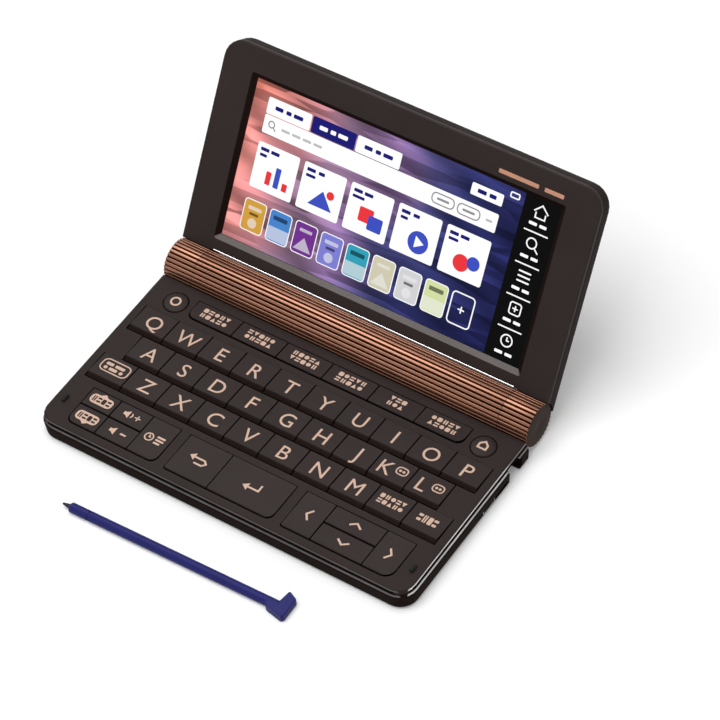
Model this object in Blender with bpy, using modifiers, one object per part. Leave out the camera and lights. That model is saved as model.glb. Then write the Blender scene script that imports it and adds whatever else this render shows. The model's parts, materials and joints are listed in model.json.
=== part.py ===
# Electronic dictionary: a clamshell with a key field, a ribbed hinge barrel that holds the
# cells, a display lid and a loose stylus. Metres, +Z up. The origin is the middle of the base's
# flat underside, the front edge faces -Y, and the lid stands open at its resting angle.

import math

import bmesh
import bpy
from mathutils import Matrix, Vector

# Driving dimensions
CLOSED_DEPTH = 0.0930
LID_OPENING = math.radians(122)
CELL_LENGTH = 0.0502
CELL_RADIUS = 0.0071

# Fits and tool allowances
SEAT_GAP = 0.0003
PIN_FIT = 0.0001
OVERRUN = 0.0010
MERGE = 0.000002

# Hinge barrel
BARREL_CLEARANCE = 0.0010
BARREL_INSET = 0.0003
KNUCKLE_LENGTH = 0.0120
RIB_COUNT = 30
RIB_DEPTH = 0.00045
RIB_PHASE = math.radians(2)
RIB_CREST_SHARE = 0.30
RIB_VALLEY_SHARE = 0.42
TUBE_WALL = 0.0008
TUBE_FRONT_END = math.radians(190)
TUBE_REAR_END = math.radians(350)
TUBE_END_GAP = math.radians(2.5)
BLOCK_WALL = 0.0034
PIN_RADIUS = 0.0030
PIN_LENGTH = 0.0100
PIN_SIDES = 32

# Cells
CELL_EDGE = 0.0006
NUB_RADIUS = 0.0027
NUB_LENGTH = 0.0013
CELL_SIDES = 28
CELL_SPACE = 0.00125

# Base case
WALL = 0.0012
FLOOR = 0.0015
CORNER_RADIUS = 0.0065
REAR_CORNER_RADIUS = 0.0015
CORNER_STEPS = 6
UNDERSIDE_FILLET = 0.0006
FOOT_OF_TAPER = 0.0002
BULGE = 0.0006
BULGE_DROP = 0.0015
RIM_OUTSET = 0.0001
RIM_DROP = 0.0005
SEAM = 0.0004
TOP_CASE_THICKNESS = 0.0015
TOP_SIDE = 0.0006
SHOULDER = 0.0010
SHOULDER_STEPS = 3
LOCATING_RIB = 0.0008
LOCATING_DEPTH = 0.0016
LOCATING_REACH = 0.0590
DECK_RELIEF = 0.0001
TROUGH_SIDES = 72
REAR_LIP = 0.0030
FOOT_RADIUS = 0.0035
FOOT_HEIGHT = 0.0006
FOOT_SINK = 0.0004
FOOT_SIDES = 20
FRONT_FOOT_SHARES = (0.86, -0.80)
REAR_FOOT_SHARES = (0.75, 0.76)
BUMPER_WIDTH = 0.0012
BUMPER_LENGTH = 0.0032
BUMPER_HEIGHT = 0.0010
BUMPER_INSET = 0.0043
BUMPER_SETBACK = 0.0115
PORT_FRONT = 0.0470
PORT_LENGTH = 0.0160
PORT_LOW = 0.0006
PORT_HIGH = 0.0026
PORT_DEPTH = 0.0009

# Battery cover
COVER_END_GAP = 0.00045
TONGUE_LENGTH = 0.0034
COVER_SKIN = 0.0012
BAY_MARGIN = 0.0002
COVER_STEP = 0.0004

# Stylus and its channel
STYLUS_RADIUS = 0.00187
STYLUS_LENGTH = 0.0945
STYLUS_SIDES = 24
TIP_LENGTH = 0.0036
TIP_RADIUS = 0.0004
TIP_ROOT_RADIUS = 0.0010
SHAFT_CHAMFER = 0.0004
GROOVE_PLACE = 0.0114
GROOVE_WIDTH = 0.0005
GROOVE_DEPTH = 0.0003
HOOK_LENGTH = 0.0087
HOOK_ARM = 0.0040
HOOK_REACH = 0.0062
HOOK_HEEL = 0.0042
HOOK_RADIUS = 0.0008
HOOK_THICKNESS = 0.0034
STYLUS_TIP_X = -0.0507
STYLUS_TIP_SETOUT = 0.0223
STYLUS_TURN = math.radians(1.3)
CHANNEL_FIT = 0.00043
CHANNEL_LOW = 0.0012
CHANNEL_ROOF = 0.0011
CHANNEL_WALL = 0.0008
CHANNEL_END = 0.0018
TROUGH_WALL = 0.0040
POCKET_WIDTH = 0.0069
POCKET_DEPTH = 0.0037
POCKET_SHIFT = 0.0035
POCKET_WALL = 0.0015

# Key field: places along the deck are shares of its depth from the front edge to the trough,
# and places across it are shares of the case's half width
KEY_SKIRT = 0.0023
KEY_RISE = 0.0006
KEY_LOW_RISE = 0.0003
KEY_TRAVEL = 0.0006
KEY_LIP = 0.0015
KEY_LIP_DROP = 0.0001
KEY_RISER_SLOPE = 0.0001
KEY_BEVEL = 0.0003
KEY_EDGE = 0.00012
KEY_GAP = 0.0004
KEY_FRONT_GAP = 0.00045
KEY_FIELD_MARGIN = 0.00375
KEY_SHARP_CORNER = 0.0003
KEY_SMALL_CORNER = 0.0010
KEY_ROUND_CORNER = 0.0030
KEY_ARROW_CORNER = 0.0040
KEY_CORNER_STEPS = 4
ROUND_KEY_RADIUS = 0.0046
ROUND_KEY_SIDES = 32
ROUND_KEY_CROWN = 0.0004
LETTER_FRONT_SHARE = 0.3132
LETTER_PITCH_SHARE = 0.1651
FUNCTION_FRONT_SHARE = 0.8427
FUNCTION_BACK_SHARE = 0.9489
ROUND_KEY_SHARE = 0.8860
POWER_X_SHARE = -0.8424
HOME_X_SHARE = 0.8450
FUNCTION_PITCH_SHARE = 0.2508
FUNCTION_COUNT = 6
CLUSTER_FRONT_SHARE = 0.0511
CLUSTER_SPLIT_SHARE = 0.1638
CLUSTER_BACK_SHARE = 0.2700
TOOLS_GROUP_SHARES = (-0.869, -0.710, -0.530, -0.376)
ENTER_GROUP_SHARES = (-0.324, -0.090, 0.257)
ARROW_GROUP_SHARES = (0.309, 0.466, 0.738, 0.887)
LETTER_ROWS = (
    ("mode", "z", "x", "c", "v", "b", "n", "m", "space", "delete"),
    ("a", "s", "d", "f", "g", "h", "j", "k", "l"),
    ("q", "w", "e", "r", "t", "y", "u", "i", "o", "p"),
)

# Key board
BOARD_THICKNESS = 0.0010
BOARD_SIDE_MARGIN = 0.00625
BOARD_FRONT = 0.0032
BOARD_CORNER = 0.0010
DOME_RADIUS = 0.0015
DOME_TOP_RADIUS = 0.0009
DOME_HEIGHT = 0.0014
DOME_SIDES = 6
DOME_MARGIN = 0.0002
DOME_SINK = 0.0002
POST_RADIUS = 0.0018
POST_SIDES = 16
POST_X_SHARES = (-0.84, 0.0, 0.84)
POST_Y_SHARES = (0.10, 0.50, 0.80)

# Display lid: heights are above the barrel's axis with the lid closed, reaches are outward from it
LID_OUTSET = 0.00025
LID_OVERHANG = 0.0026
LID_ROOT_GAP = 0.0004
LID_ARM_ROOT = 0.0030
CLOSED_GAP = 0.0004
LID_THICKNESS = 0.0075
LID_CORNER = 0.0080
LID_ROOT_CORNER = 0.0010
LID_BACK_EDGE = 0.0015
LID_BACK_STEPS = 4
LID_FRONT_EDGE = 0.0004
BEZEL_THICKNESS = 0.0020
LID_SEAM = 0.0003
LID_WALL = 0.0015
LID_BACK_WALL = 0.0013
WINDOW_SIDE_BORDER = 0.0129
WINDOW_ROOT_BORDER = 0.0047
WINDOW_TOP_BORDER = 0.0095
WINDOW_CHAMFER = 0.0019
WINDOW_DEPTH = 0.0015
PANEL_MARGIN = 0.0012
PANEL_BACK_GAP = 0.0003

# Worked out from the above
TUBE_BORE = CELL_RADIUS + SEAT_GAP
BARREL_RADIUS = TUBE_BORE + TUBE_WALL
BARREL_HEIGHT = BARREL_RADIUS + BARREL_CLEARANCE
BAY_HALF = CELL_LENGTH + CELL_SPACE
TUBE_HALF = BAY_HALF + BLOCK_WALL + PIN_LENGTH + SEAT_GAP
BARREL_HALF = TUBE_HALF + SEAT_GAP + KNUCKLE_LENGTH
HALF_WIDTH = BARREL_HALF + BARREL_INSET
FRONT = -CLOSED_DEPTH / 2
AXIS_Y = CLOSED_DEPTH / 2 - BARREL_RADIUS
AXIS = Vector((0, AXIS_Y, BARREL_HEIGHT))
TROUGH_RADIUS = BARREL_RADIUS + SEAT_GAP
DECK_DEPTH = AXIS_Y - TROUGH_RADIUS - FRONT
CHANNEL_WIDTH = 2 * (STYLUS_RADIUS + CHANNEL_FIT)
CHANNEL_HIGH = CHANNEL_LOW + CHANNEL_WIDTH
BOTTOM_CASE_HEIGHT = CHANNEL_HIGH + CHANNEL_ROOF
TOP_CASE_LOW = BOTTOM_CASE_HEIGHT + SEAM
DECK_HEIGHT = TOP_CASE_LOW + TOP_CASE_THICKNESS
BAY_FRONT = TUBE_BORE + BAY_MARGIN
COVER_HALF_WIDTH = BAY_HALF - COVER_END_GAP
COVER_TONGUE = BAY_FRONT + TONGUE_LENGTH
COVER_FLOOR = BARREL_HEIGHT - TUBE_BORE
CHANNEL_LENGTH = STYLUS_LENGTH + CHANNEL_END
CHANNEL_BACK = FRONT + DECK_DEPTH - TROUGH_WALL
CHANNEL_FRONT = CHANNEL_BACK - CHANNEL_WIDTH
KEY_PITCH = (HALF_WIDTH - KEY_FIELD_MARGIN) / 5
KEY_FLOOR = DECK_HEIGHT - KEY_SKIRT - KEY_TRAVEL - SEAT_GAP
LETTER_PITCH = LETTER_PITCH_SHARE * DECK_DEPTH
BOARD_LOW = KEY_FLOOR - DOME_HEIGHT - BOARD_THICKNESS
BOARD_HALF_WIDTH = HALF_WIDTH - BOARD_SIDE_MARGIN
BOARD_BACK = CHANNEL_FRONT - CHANNEL_WALL - SEAT_GAP
LID_FACE = DECK_HEIGHT + BUMPER_HEIGHT + CLOSED_GAP - BARREL_HEIGHT
LID_ROOT = BARREL_RADIUS + LID_ROOT_GAP
LID_REACH = AXIS_Y - FRONT + LID_OVERHANG
LID_HALF = HALF_WIDTH + LID_OUTSET
WINDOW_HALF_WIDTH = LID_HALF - WINDOW_SIDE_BORDER
WINDOW_LOW = LID_ROOT + WINDOW_ROOT_BORDER
WINDOW_HIGH = LID_REACH - WINDOW_TOP_BORDER
LID_BACK = LID_FACE + LID_THICKNESS
REAR_COVER_LOW = LID_FACE + BEZEL_THICKNESS + LID_SEAM


# Scene, collections and materials

def clear_scene():
    for obj in list(bpy.data.objects):
        bpy.data.objects.remove(obj, do_unlink=True)
    for coll in list(bpy.data.collections):
        bpy.data.collections.remove(coll)


def new_collection(name):
    coll = bpy.data.collections.new(name)
    bpy.context.scene.collection.children.link(coll)
    return coll


def make_material(name, colour, roughness, metallic):
    mat = bpy.data.materials.new(name)
    mat.use_nodes = True
    shader = mat.node_tree.nodes["Principled BSDF"]
    shader.inputs["Base Color"].default_value = (*colour, 1.0)
    shader.inputs["Roughness"].default_value = roughness
    shader.inputs["Metallic"].default_value = metallic
    mat.diffuse_color = (*colour, 1.0)
    return mat


def add_part(name, mesh, mat):
    obj = bpy.data.objects.new(name, mesh)
    obj.data.materials.clear()
    obj.data.materials.append(mat)
    parts.objects.link(obj)
    return obj


def add_tool(name, mesh):
    obj = bpy.data.objects.new(name, mesh)
    obj.hide_render = True
    obj.display_type = "WIRE"
    tools.objects.link(obj)
    return obj


def boolean(target, tool, operation):
    mod = target.modifiers.new(tool.name, "BOOLEAN")
    mod.operation = operation
    mod.object = tool
    mod.solver = "EXACT"


def cut(target, *cutters):
    for cutter in cutters:
        boolean(target, cutter, "DIFFERENCE")


def join(target, *pieces):
    for piece in pieces:
        boolean(target, piece, "UNION")


def soften(target, width, segments=1):
    mod = target.modifiers.new("soft edges", "BEVEL")
    mod.width = width
    mod.segments = segments
    mod.limit_method = "ANGLE"
    mod.angle_limit = math.radians(40)


def set_origin(obj, point):
    # The mesh keeps its place in the world, and the object's own origin moves to the point.
    obj.data.transform(Matrix.Translation(-Vector(point)))
    obj.location = point


def smooth(obj):
    obj.data.shade_smooth()
    obj.data.set_sharp_from_angle(angle=math.radians(35))


# Outlines and solids

def arc(centre, radius, start, end, steps):
    turn = (end - start) / steps
    return [(centre[0] + radius * math.cos(start + turn * i),
             centre[1] + radius * math.sin(start + turn * i)) for i in range(steps + 1)]


def rounded_rect(left, right, front, back, radii, steps=CORNER_STEPS):
    # Corner radii run front left, front right, back right, back left; the outline is anticlockwise.
    corners = (
        (left, front, 1, 1, math.pi),
        (right, front, -1, 1, 1.5 * math.pi),
        (right, back, -1, -1, 0.0),
        (left, back, 1, -1, 0.5 * math.pi),
    )
    points = []
    for (x, y, side, depth, start), radius in zip(corners, radii):
        centre = (x + side * radius, y + depth * radius)
        points += arc(centre, radius, start, start + math.pi / 2, steps)
    return points


def flat_solid(name, outline, low, high):
    # A flat outline, extruded half its thickness each way and turned into a closed mesh.
    curve = bpy.data.curves.new(name, "CURVE")
    curve.dimensions = "2D"
    curve.fill_mode = "BOTH"
    curve.extrude = (high - low) / 2
    spline = curve.splines.new("POLY")
    spline.points.add(len(outline) - 1)
    for point, place in zip(spline.points, outline):
        point.co = (place[0], place[1], 0, 1)
    spline.use_cyclic_u = True
    source = bpy.data.objects.new(name, curve)
    bpy.context.scene.collection.objects.link(source)
    graph = bpy.context.evaluated_depsgraph_get()
    mesh = bpy.data.meshes.new_from_object(source.evaluated_get(graph))
    bpy.data.objects.remove(source)
    bpy.data.curves.remove(curve)
    bm = bmesh.new()
    bm.from_mesh(mesh)
    bmesh.ops.remove_doubles(bm, verts=bm.verts, dist=MERGE)
    bmesh.ops.translate(bm, verts=bm.verts, vec=(0, 0, (low + high) / 2))
    bmesh.ops.recalc_face_normals(bm, faces=bm.faces)
    bm.to_mesh(mesh)
    bm.free()
    return mesh


def side_solid(name, outline, left, right):
    # A side view, drawn as depth and height and extruded across the width.
    mesh = flat_solid(name, outline, left, right)
    mesh.transform(Matrix(((0, 0, 1, 0), (1, 0, 0, 0), (0, 1, 0, 0), (0, 0, 0, 1))))
    return mesh


def loft(name, rings, heights):
    # A closed solid through level outlines that have the same number of points.
    bm = bmesh.new()
    levels = [[bm.verts.new((x, y, z)) for x, y in ring] for ring, z in zip(rings, heights)]
    count = len(rings[0])
    for lower, upper in zip(levels, levels[1:]):
        for i in range(count):
            j = (i + 1) % count
            bm.faces.new((lower[i], lower[j], upper[j], upper[i]))
    bm.faces.new(list(reversed(levels[0])))
    bm.faces.new(levels[-1])
    bmesh.ops.recalc_face_normals(bm, faces=bm.faces)
    mesh = bpy.data.meshes.new(name)
    bm.to_mesh(mesh)
    bm.free()
    return mesh


def box(name, low, high):
    bm = bmesh.new()
    bmesh.ops.create_cube(bm, size=1)
    size = [b - a for a, b in zip(low, high)]
    middle = [(a + b) / 2 for a, b in zip(low, high)]
    bmesh.ops.scale(bm, verts=bm.verts, vec=size)
    bmesh.ops.translate(bm, verts=bm.verts, vec=middle)
    mesh = bpy.data.meshes.new(name)
    bm.to_mesh(mesh)
    bm.free()
    return mesh


def upright(bm, x, y, low, high, radius, top_radius, sides):
    # A cylinder or cone standing on its circle, added to a mesh that is being built.
    place = Matrix.Translation((x, y, (low + high) / 2))
    bmesh.ops.create_cone(bm, cap_ends=True, segments=sides, radius1=radius, radius2=top_radius,
                          depth=high - low, matrix=place)


def cylinder(name, x, y, low, high, radius, sides):
    bm = bmesh.new()
    upright(bm, x, y, low, high, radius, radius, sides)
    mesh = bpy.data.meshes.new(name)
    bm.to_mesh(mesh)
    bm.free()
    return mesh


def axle(name, left, right, radius, sides):
    # A cylinder on the barrel's axis.
    bm = bmesh.new()
    bmesh.ops.create_cone(bm, cap_ends=True, segments=sides, radius1=radius, radius2=radius,
                          depth=right - left)
    mesh = bpy.data.meshes.new(name)
    bm.to_mesh(mesh)
    bm.free()
    mesh.transform(Matrix.Translation(((left + right) / 2, AXIS_Y, BARREL_HEIGHT))
                   @ Matrix.Rotation(math.pi / 2, 4, "Y"))
    return mesh


def turned(name, profile, sides):
    # A profile of radius and height, top to bottom, swept round the upright axis and fixed as a mesh.
    mesh = bpy.data.meshes.new(name)
    points = [(radius, 0, height) for radius, height in profile]
    mesh.from_pydata(points, [(i, i + 1) for i in range(len(points) - 1)], [])
    source = bpy.data.objects.new(name, mesh)
    bpy.context.scene.collection.objects.link(source)
    screw = source.modifiers.new("turn", "SCREW")
    screw.axis = "Z"
    screw.angle = 2 * math.pi
    screw.steps = sides
    screw.render_steps = sides
    screw.use_merge_vertices = True
    screw.merge_threshold = MERGE
    graph = bpy.context.evaluated_depsgraph_get()
    solid = bpy.data.meshes.new_from_object(source.evaluated_get(graph))
    bpy.data.objects.remove(source)
    return solid


# Hinge barrel

def ribbed_circle(turn=0.0):
    # Points of the ribbed section, measured from the back over the top.
    pitch = 2 * math.pi / RIB_COUNT
    valley = BARREL_RADIUS - RIB_DEPTH
    shares = ((-RIB_VALLEY_SHARE, valley), (-RIB_CREST_SHARE, BARREL_RADIUS), (0.0, BARREL_RADIUS),
              (RIB_CREST_SHARE, BARREL_RADIUS), (RIB_VALLEY_SHARE, valley))
    points = []
    for i in range(RIB_COUNT):
        for share, radius in shares:
            angle = RIB_PHASE + turn + (i + share) * pitch
            points.append((radius * math.cos(angle), radius * math.sin(angle)))
    return points


def on_axis(points):
    return [(AXIS_Y + y, BARREL_HEIGHT + z) for y, z in points]


def make_hinge_barrel(mat):
    # The fixed length: an open tube over the cells, and a solid block with a bore at each end.
    mesh = side_solid("hinge_barrel", on_axis(ribbed_circle()), -TUBE_HALF, TUBE_HALF)
    barrel = add_part("hinge_barrel", mesh, mat)
    outer = BARREL_RADIUS + OVERRUN
    rear_end = TUBE_REAR_END - 2 * math.pi
    hollow = arc((0, 0), TUBE_BORE, rear_end, TUBE_FRONT_END, TROUGH_SIDES // 2)
    hollow += arc((0, 0), outer, TUBE_FRONT_END, TUBE_REAR_END, TROUGH_SIDES // 4)
    cut(barrel, add_tool("cell_bay", side_solid("cell_bay", on_axis(hollow), -BAY_HALF, BAY_HALF)))
    bore_end = TUBE_HALF - PIN_LENGTH - SEAT_GAP
    for side, label in ((-1, "left"), (1, "right")):
        ends = sorted((side * bore_end, side * (TUBE_HALF + OVERRUN)))
        bore = axle("bore_" + label, ends[0], ends[1], PIN_RADIUS + PIN_FIT, PIN_SIDES)
        cut(barrel, add_tool("bore_" + label, bore))
    set_origin(barrel, AXIS)
    return barrel


def make_knuckle(side, label, mat, hinge):
    # The end length turns with the lid on a pin that runs in the fixed length's bore. Its ribs
    # line up with the fixed length's ribs when the lid is at its resting angle.
    ends = sorted((side * (BARREL_HALF - KNUCKLE_LENGTH), side * BARREL_HALF))
    name = "hinge_knuckle_" + label
    outline = on_axis(ribbed_circle(LID_OPENING))
    knuckle = add_part(name, side_solid(name, outline, ends[0], ends[1]), mat)
    inner_end = TUBE_HALF - PIN_LENGTH
    sunk_end = BARREL_HALF - KNUCKLE_LENGTH / 2
    ends = sorted((side * inner_end, side * sunk_end))
    pin = add_tool("pin_" + label, axle("pin_" + label, ends[0], ends[1], PIN_RADIUS, PIN_SIDES))
    join(knuckle, pin)
    for obj in (knuckle, pin):
        set_origin(obj, AXIS)
        obj.location = (0, 0, 0)
        obj.parent = hinge
    return knuckle


def make_battery_pair(mat):
    # Two cells end to end, the first one's nub against the second one's flat end.
    one = [(NUB_RADIUS, 0), (NUB_RADIUS, -NUB_LENGTH), (CELL_RADIUS - CELL_EDGE, -NUB_LENGTH),
           (CELL_RADIUS, -NUB_LENGTH - CELL_EDGE), (CELL_RADIUS, -CELL_LENGTH + CELL_EDGE),
           (CELL_RADIUS - CELL_EDGE, -CELL_LENGTH)]
    profile = [(0, CELL_LENGTH)]
    profile += [(radius, height + CELL_LENGTH) for radius, height in one]
    profile += one
    profile += [(0, -CELL_LENGTH)]
    mesh = turned("battery_pair", profile, CELL_SIDES)
    mesh.transform(Matrix.Rotation(math.pi / 2, 4, "Y"))
    mesh.transform(Matrix.Translation(AXIS))
    cells = add_part("battery_pair", mesh, mat)
    set_origin(cells, AXIS)
    return cells


# Base case

def case_ring(outset, back):
    front_radius = CORNER_RADIUS + outset
    back_radius = REAR_CORNER_RADIUS
    return rounded_rect(-HALF_WIDTH - outset, HALF_WIDTH + outset, FRONT - outset, back,
                        (front_radius, front_radius, back_radius, back_radius))


def trough_tool(name):
    return add_tool(name, axle(name, -HALF_WIDTH - 2 * BULGE - OVERRUN,
                               HALF_WIDTH + 2 * BULGE + OVERRUN, TROUGH_RADIUS, TROUGH_SIDES))


def make_bottom_case(mat):
    back = AXIS_Y + REAR_LIP
    steps = (
        (-UNDERSIDE_FILLET, 0),
        (FOOT_OF_TAPER, UNDERSIDE_FILLET),
        (BULGE, BOTTOM_CASE_HEIGHT - BULGE_DROP),
        (RIM_OUTSET, BOTTOM_CASE_HEIGHT - RIM_DROP),
        (0, BOTTOM_CASE_HEIGHT),
    )
    rings = [case_ring(outset, back) for outset, _ in steps]
    rings[0] = case_ring(-UNDERSIDE_FILLET, back - UNDERSIDE_FILLET)
    case = add_part("base_bottom_case", loft("base_bottom_case", rings, [z for _, z in steps]), mat)
    top = BOTTOM_CASE_HEIGHT + OVERRUN
    cavity_back = CHANNEL_FRONT - CHANNEL_WALL
    radii = (CORNER_RADIUS - WALL, CORNER_RADIUS - WALL, REAR_CORNER_RADIUS, REAR_CORNER_RADIUS)
    inside = HALF_WIDTH - WALL
    cavity = flat_solid("cavity", rounded_rect(-inside, inside, FRONT + WALL, cavity_back, radii),
                        FLOOR, top)
    cut(case, add_tool("cavity", cavity))
    add_pocket_and_posts(case, cavity_back, inside)
    cut_stylus_channel(case, top)
    cut_cell_bay(case, back)
    cut(case, trough_tool("trough_bottom"))
    cut_knuckle_clearance(case, back, top)
    port_low = (HALF_WIDTH - PORT_DEPTH, FRONT + PORT_FRONT, PORT_LOW)
    port_high = (HALF_WIDTH + BULGE + OVERRUN, FRONT + PORT_FRONT + PORT_LENGTH, PORT_HIGH)
    cut(case, add_tool("port", box("port", port_low, port_high)))
    add_feet(case)
    return case


def add_pocket_and_posts(case, cavity_back, inside):
    # The block that the stylus pocket is cut from, and the posts that carry the key board.
    block_low = (HALF_WIDTH - POCKET_DEPTH - POCKET_WALL, CHANNEL_FRONT - POCKET_SHIFT - POCKET_WALL,
                 FLOOR / 2)
    block_high = (inside + WALL / 2, cavity_back + CHANNEL_WALL / 2, BOTTOM_CASE_HEIGHT)
    join(case, add_tool("pocket_block", box("pocket_block", block_low, block_high)))
    bm = bmesh.new()
    for x_share in POST_X_SHARES:
        for y_share in POST_Y_SHARES:
            upright(bm, x_share * BOARD_HALF_WIDTH, FRONT + y_share * DECK_DEPTH,
                    FLOOR / 2, BOARD_LOW - SEAT_GAP, POST_RADIUS, POST_RADIUS, POST_SIDES)
    mesh = bpy.data.meshes.new("board_posts")
    bm.to_mesh(mesh)
    bm.free()
    join(case, add_tool("board_posts", mesh))


def cut_knuckle_clearance(case, back, top):
    # The case ends in front of the knuckles, which show from below.
    front = AXIS_Y - BARREL_RADIUS
    reach = HALF_WIDTH + BULGE + OVERRUN
    for side, label in ((-1, "left"), (1, "right")):
        ends = sorted((side * TUBE_HALF, side * reach))
        name = "clearance_" + label
        cut(case, add_tool(name, box(name, (ends[0], front, -OVERRUN), (ends[1], back + OVERRUN, top))))


def cut_stylus_channel(case, top):
    # The hooked end of the stylus lies in a pocket that is open above, below and at the side.
    reach = HALF_WIDTH + BULGE + OVERRUN
    inner = HALF_WIDTH - CHANNEL_LENGTH
    channel = box("channel", (inner, CHANNEL_FRONT, CHANNEL_LOW), (reach, CHANNEL_BACK, CHANNEL_HIGH))
    pocket_front = CHANNEL_FRONT - POCKET_SHIFT
    pocket = box("pocket", (HALF_WIDTH - POCKET_DEPTH, pocket_front, -OVERRUN),
                 (reach, pocket_front + POCKET_WIDTH, top))
    relief_half = HALF_WIDTH - POCKET_DEPTH - POCKET_WALL
    relief = box("key_relief", (-relief_half, CHANNEL_FRONT - CHANNEL_WALL - OVERRUN, KEY_FLOOR),
                 (relief_half, FRONT + FUNCTION_BACK_SHARE * DECK_DEPTH + SEAT_GAP, top))
    cut(case, add_tool("channel", channel), add_tool("pocket", pocket), add_tool("key_relief", relief))


def cut_cell_bay(case, back):
    half = COVER_HALF_WIDTH + SEAT_GAP
    tongue = AXIS_Y - COVER_TONGUE - SEAT_GAP
    wall = AXIS_Y - BAY_FRONT
    shelf = COVER_SKIN + SEAT_GAP
    top = BARREL_HEIGHT + BARREL_RADIUS
    outline = ((tongue, -OVERRUN), (back + OVERRUN, -OVERRUN), (back + OVERRUN, top), (wall, top),
               (wall, shelf), (tongue, shelf))
    cut(case, add_tool("bay", side_solid("bay", outline, -half, half)))


def add_feet(case):
    bm = bmesh.new()
    for x_share, y_share in (FRONT_FOOT_SHARES, REAR_FOOT_SHARES):
        for side in (-1, 1):
            upright(bm, side * x_share * HALF_WIDTH, -y_share * FRONT, -FOOT_HEIGHT, FOOT_SINK,
                    FOOT_RADIUS, FOOT_RADIUS, FOOT_SIDES)
    mesh = bpy.data.meshes.new("feet")
    bm.to_mesh(mesh)
    bm.free()
    join(case, add_tool("feet", mesh))


def make_top_case(mat):
    rise = DECK_HEIGHT - TOP_CASE_LOW - TOP_SIDE
    rings = [case_ring(0, AXIS_Y)]
    heights = [TOP_CASE_LOW]
    for i in range(SHOULDER_STEPS + 1):
        angle = math.pi / 2 * i / SHOULDER_STEPS
        rings.append(case_ring(-SHOULDER * (1 - math.cos(angle)), AXIS_Y))
        heights.append(TOP_CASE_LOW + TOP_SIDE + rise * math.sin(angle))
    case = add_part("base_top_case", loft("base_top_case", rings, heights), mat)
    add_locating_rib(case)
    for name, mesh in key_openings():
        cut(case, add_tool(name, mesh))
    cut(case, trough_tool("trough_top"))
    for side, label in ((-1, "left"), (1, "right")):
        x = side * (HALF_WIDTH - BUMPER_INSET)
        y = FRONT + BUMPER_SETBACK
        low = (x - BUMPER_WIDTH / 2, y - BUMPER_LENGTH / 2, DECK_HEIGHT - DECK_RELIEF)
        high = (x + BUMPER_WIDTH / 2, y + BUMPER_LENGTH / 2, DECK_HEIGHT + BUMPER_HEIGHT)
        join(case, add_tool("bumper_" + label, box("bumper_" + label, low, high)))
    return case


def add_locating_rib(case):
    # A low rib inside the wall of the bottom case, along the front and both sides.
    outer = WALL + SEAT_GAP
    inner = outer + LOCATING_RIB
    radius = CORNER_RADIUS - outer
    outline = rounded_rect(outer - HALF_WIDTH, HALF_WIDTH - outer, FRONT + outer,
                           FRONT + LOCATING_REACH, (radius, radius, KEY_SHARP_CORNER, KEY_SHARP_CORNER))
    low = TOP_CASE_LOW - LOCATING_DEPTH
    join(case, add_tool("rib_outer", flat_solid("rib_outer", outline, low, TOP_CASE_LOW + TOP_SIDE)))
    radius = CORNER_RADIUS - inner
    outline = rounded_rect(inner - HALF_WIDTH, HALF_WIDTH - inner, FRONT + inner,
                           FRONT + LOCATING_REACH + OVERRUN,
                           (radius, radius, KEY_SHARP_CORNER, KEY_SHARP_CORNER))
    cut(case, add_tool("rib_inner", flat_solid("rib_inner", outline, low - OVERRUN,
                                               TOP_CASE_LOW + DECK_RELIEF)))


# Keys

def letter_row_front(row):
    return FRONT + LETTER_FRONT_SHARE * DECK_DEPTH + row * LETTER_PITCH


def cluster_edges():
    return [FRONT + share * DECK_DEPTH
            for share in (CLUSTER_FRONT_SHARE, CLUSTER_SPLIT_SHARE, CLUSTER_BACK_SHARE)]


def function_edges():
    return (FRONT + FUNCTION_FRONT_SHARE * DECK_DEPTH, FRONT + FUNCTION_BACK_SHARE * DECK_DEPTH)


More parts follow.
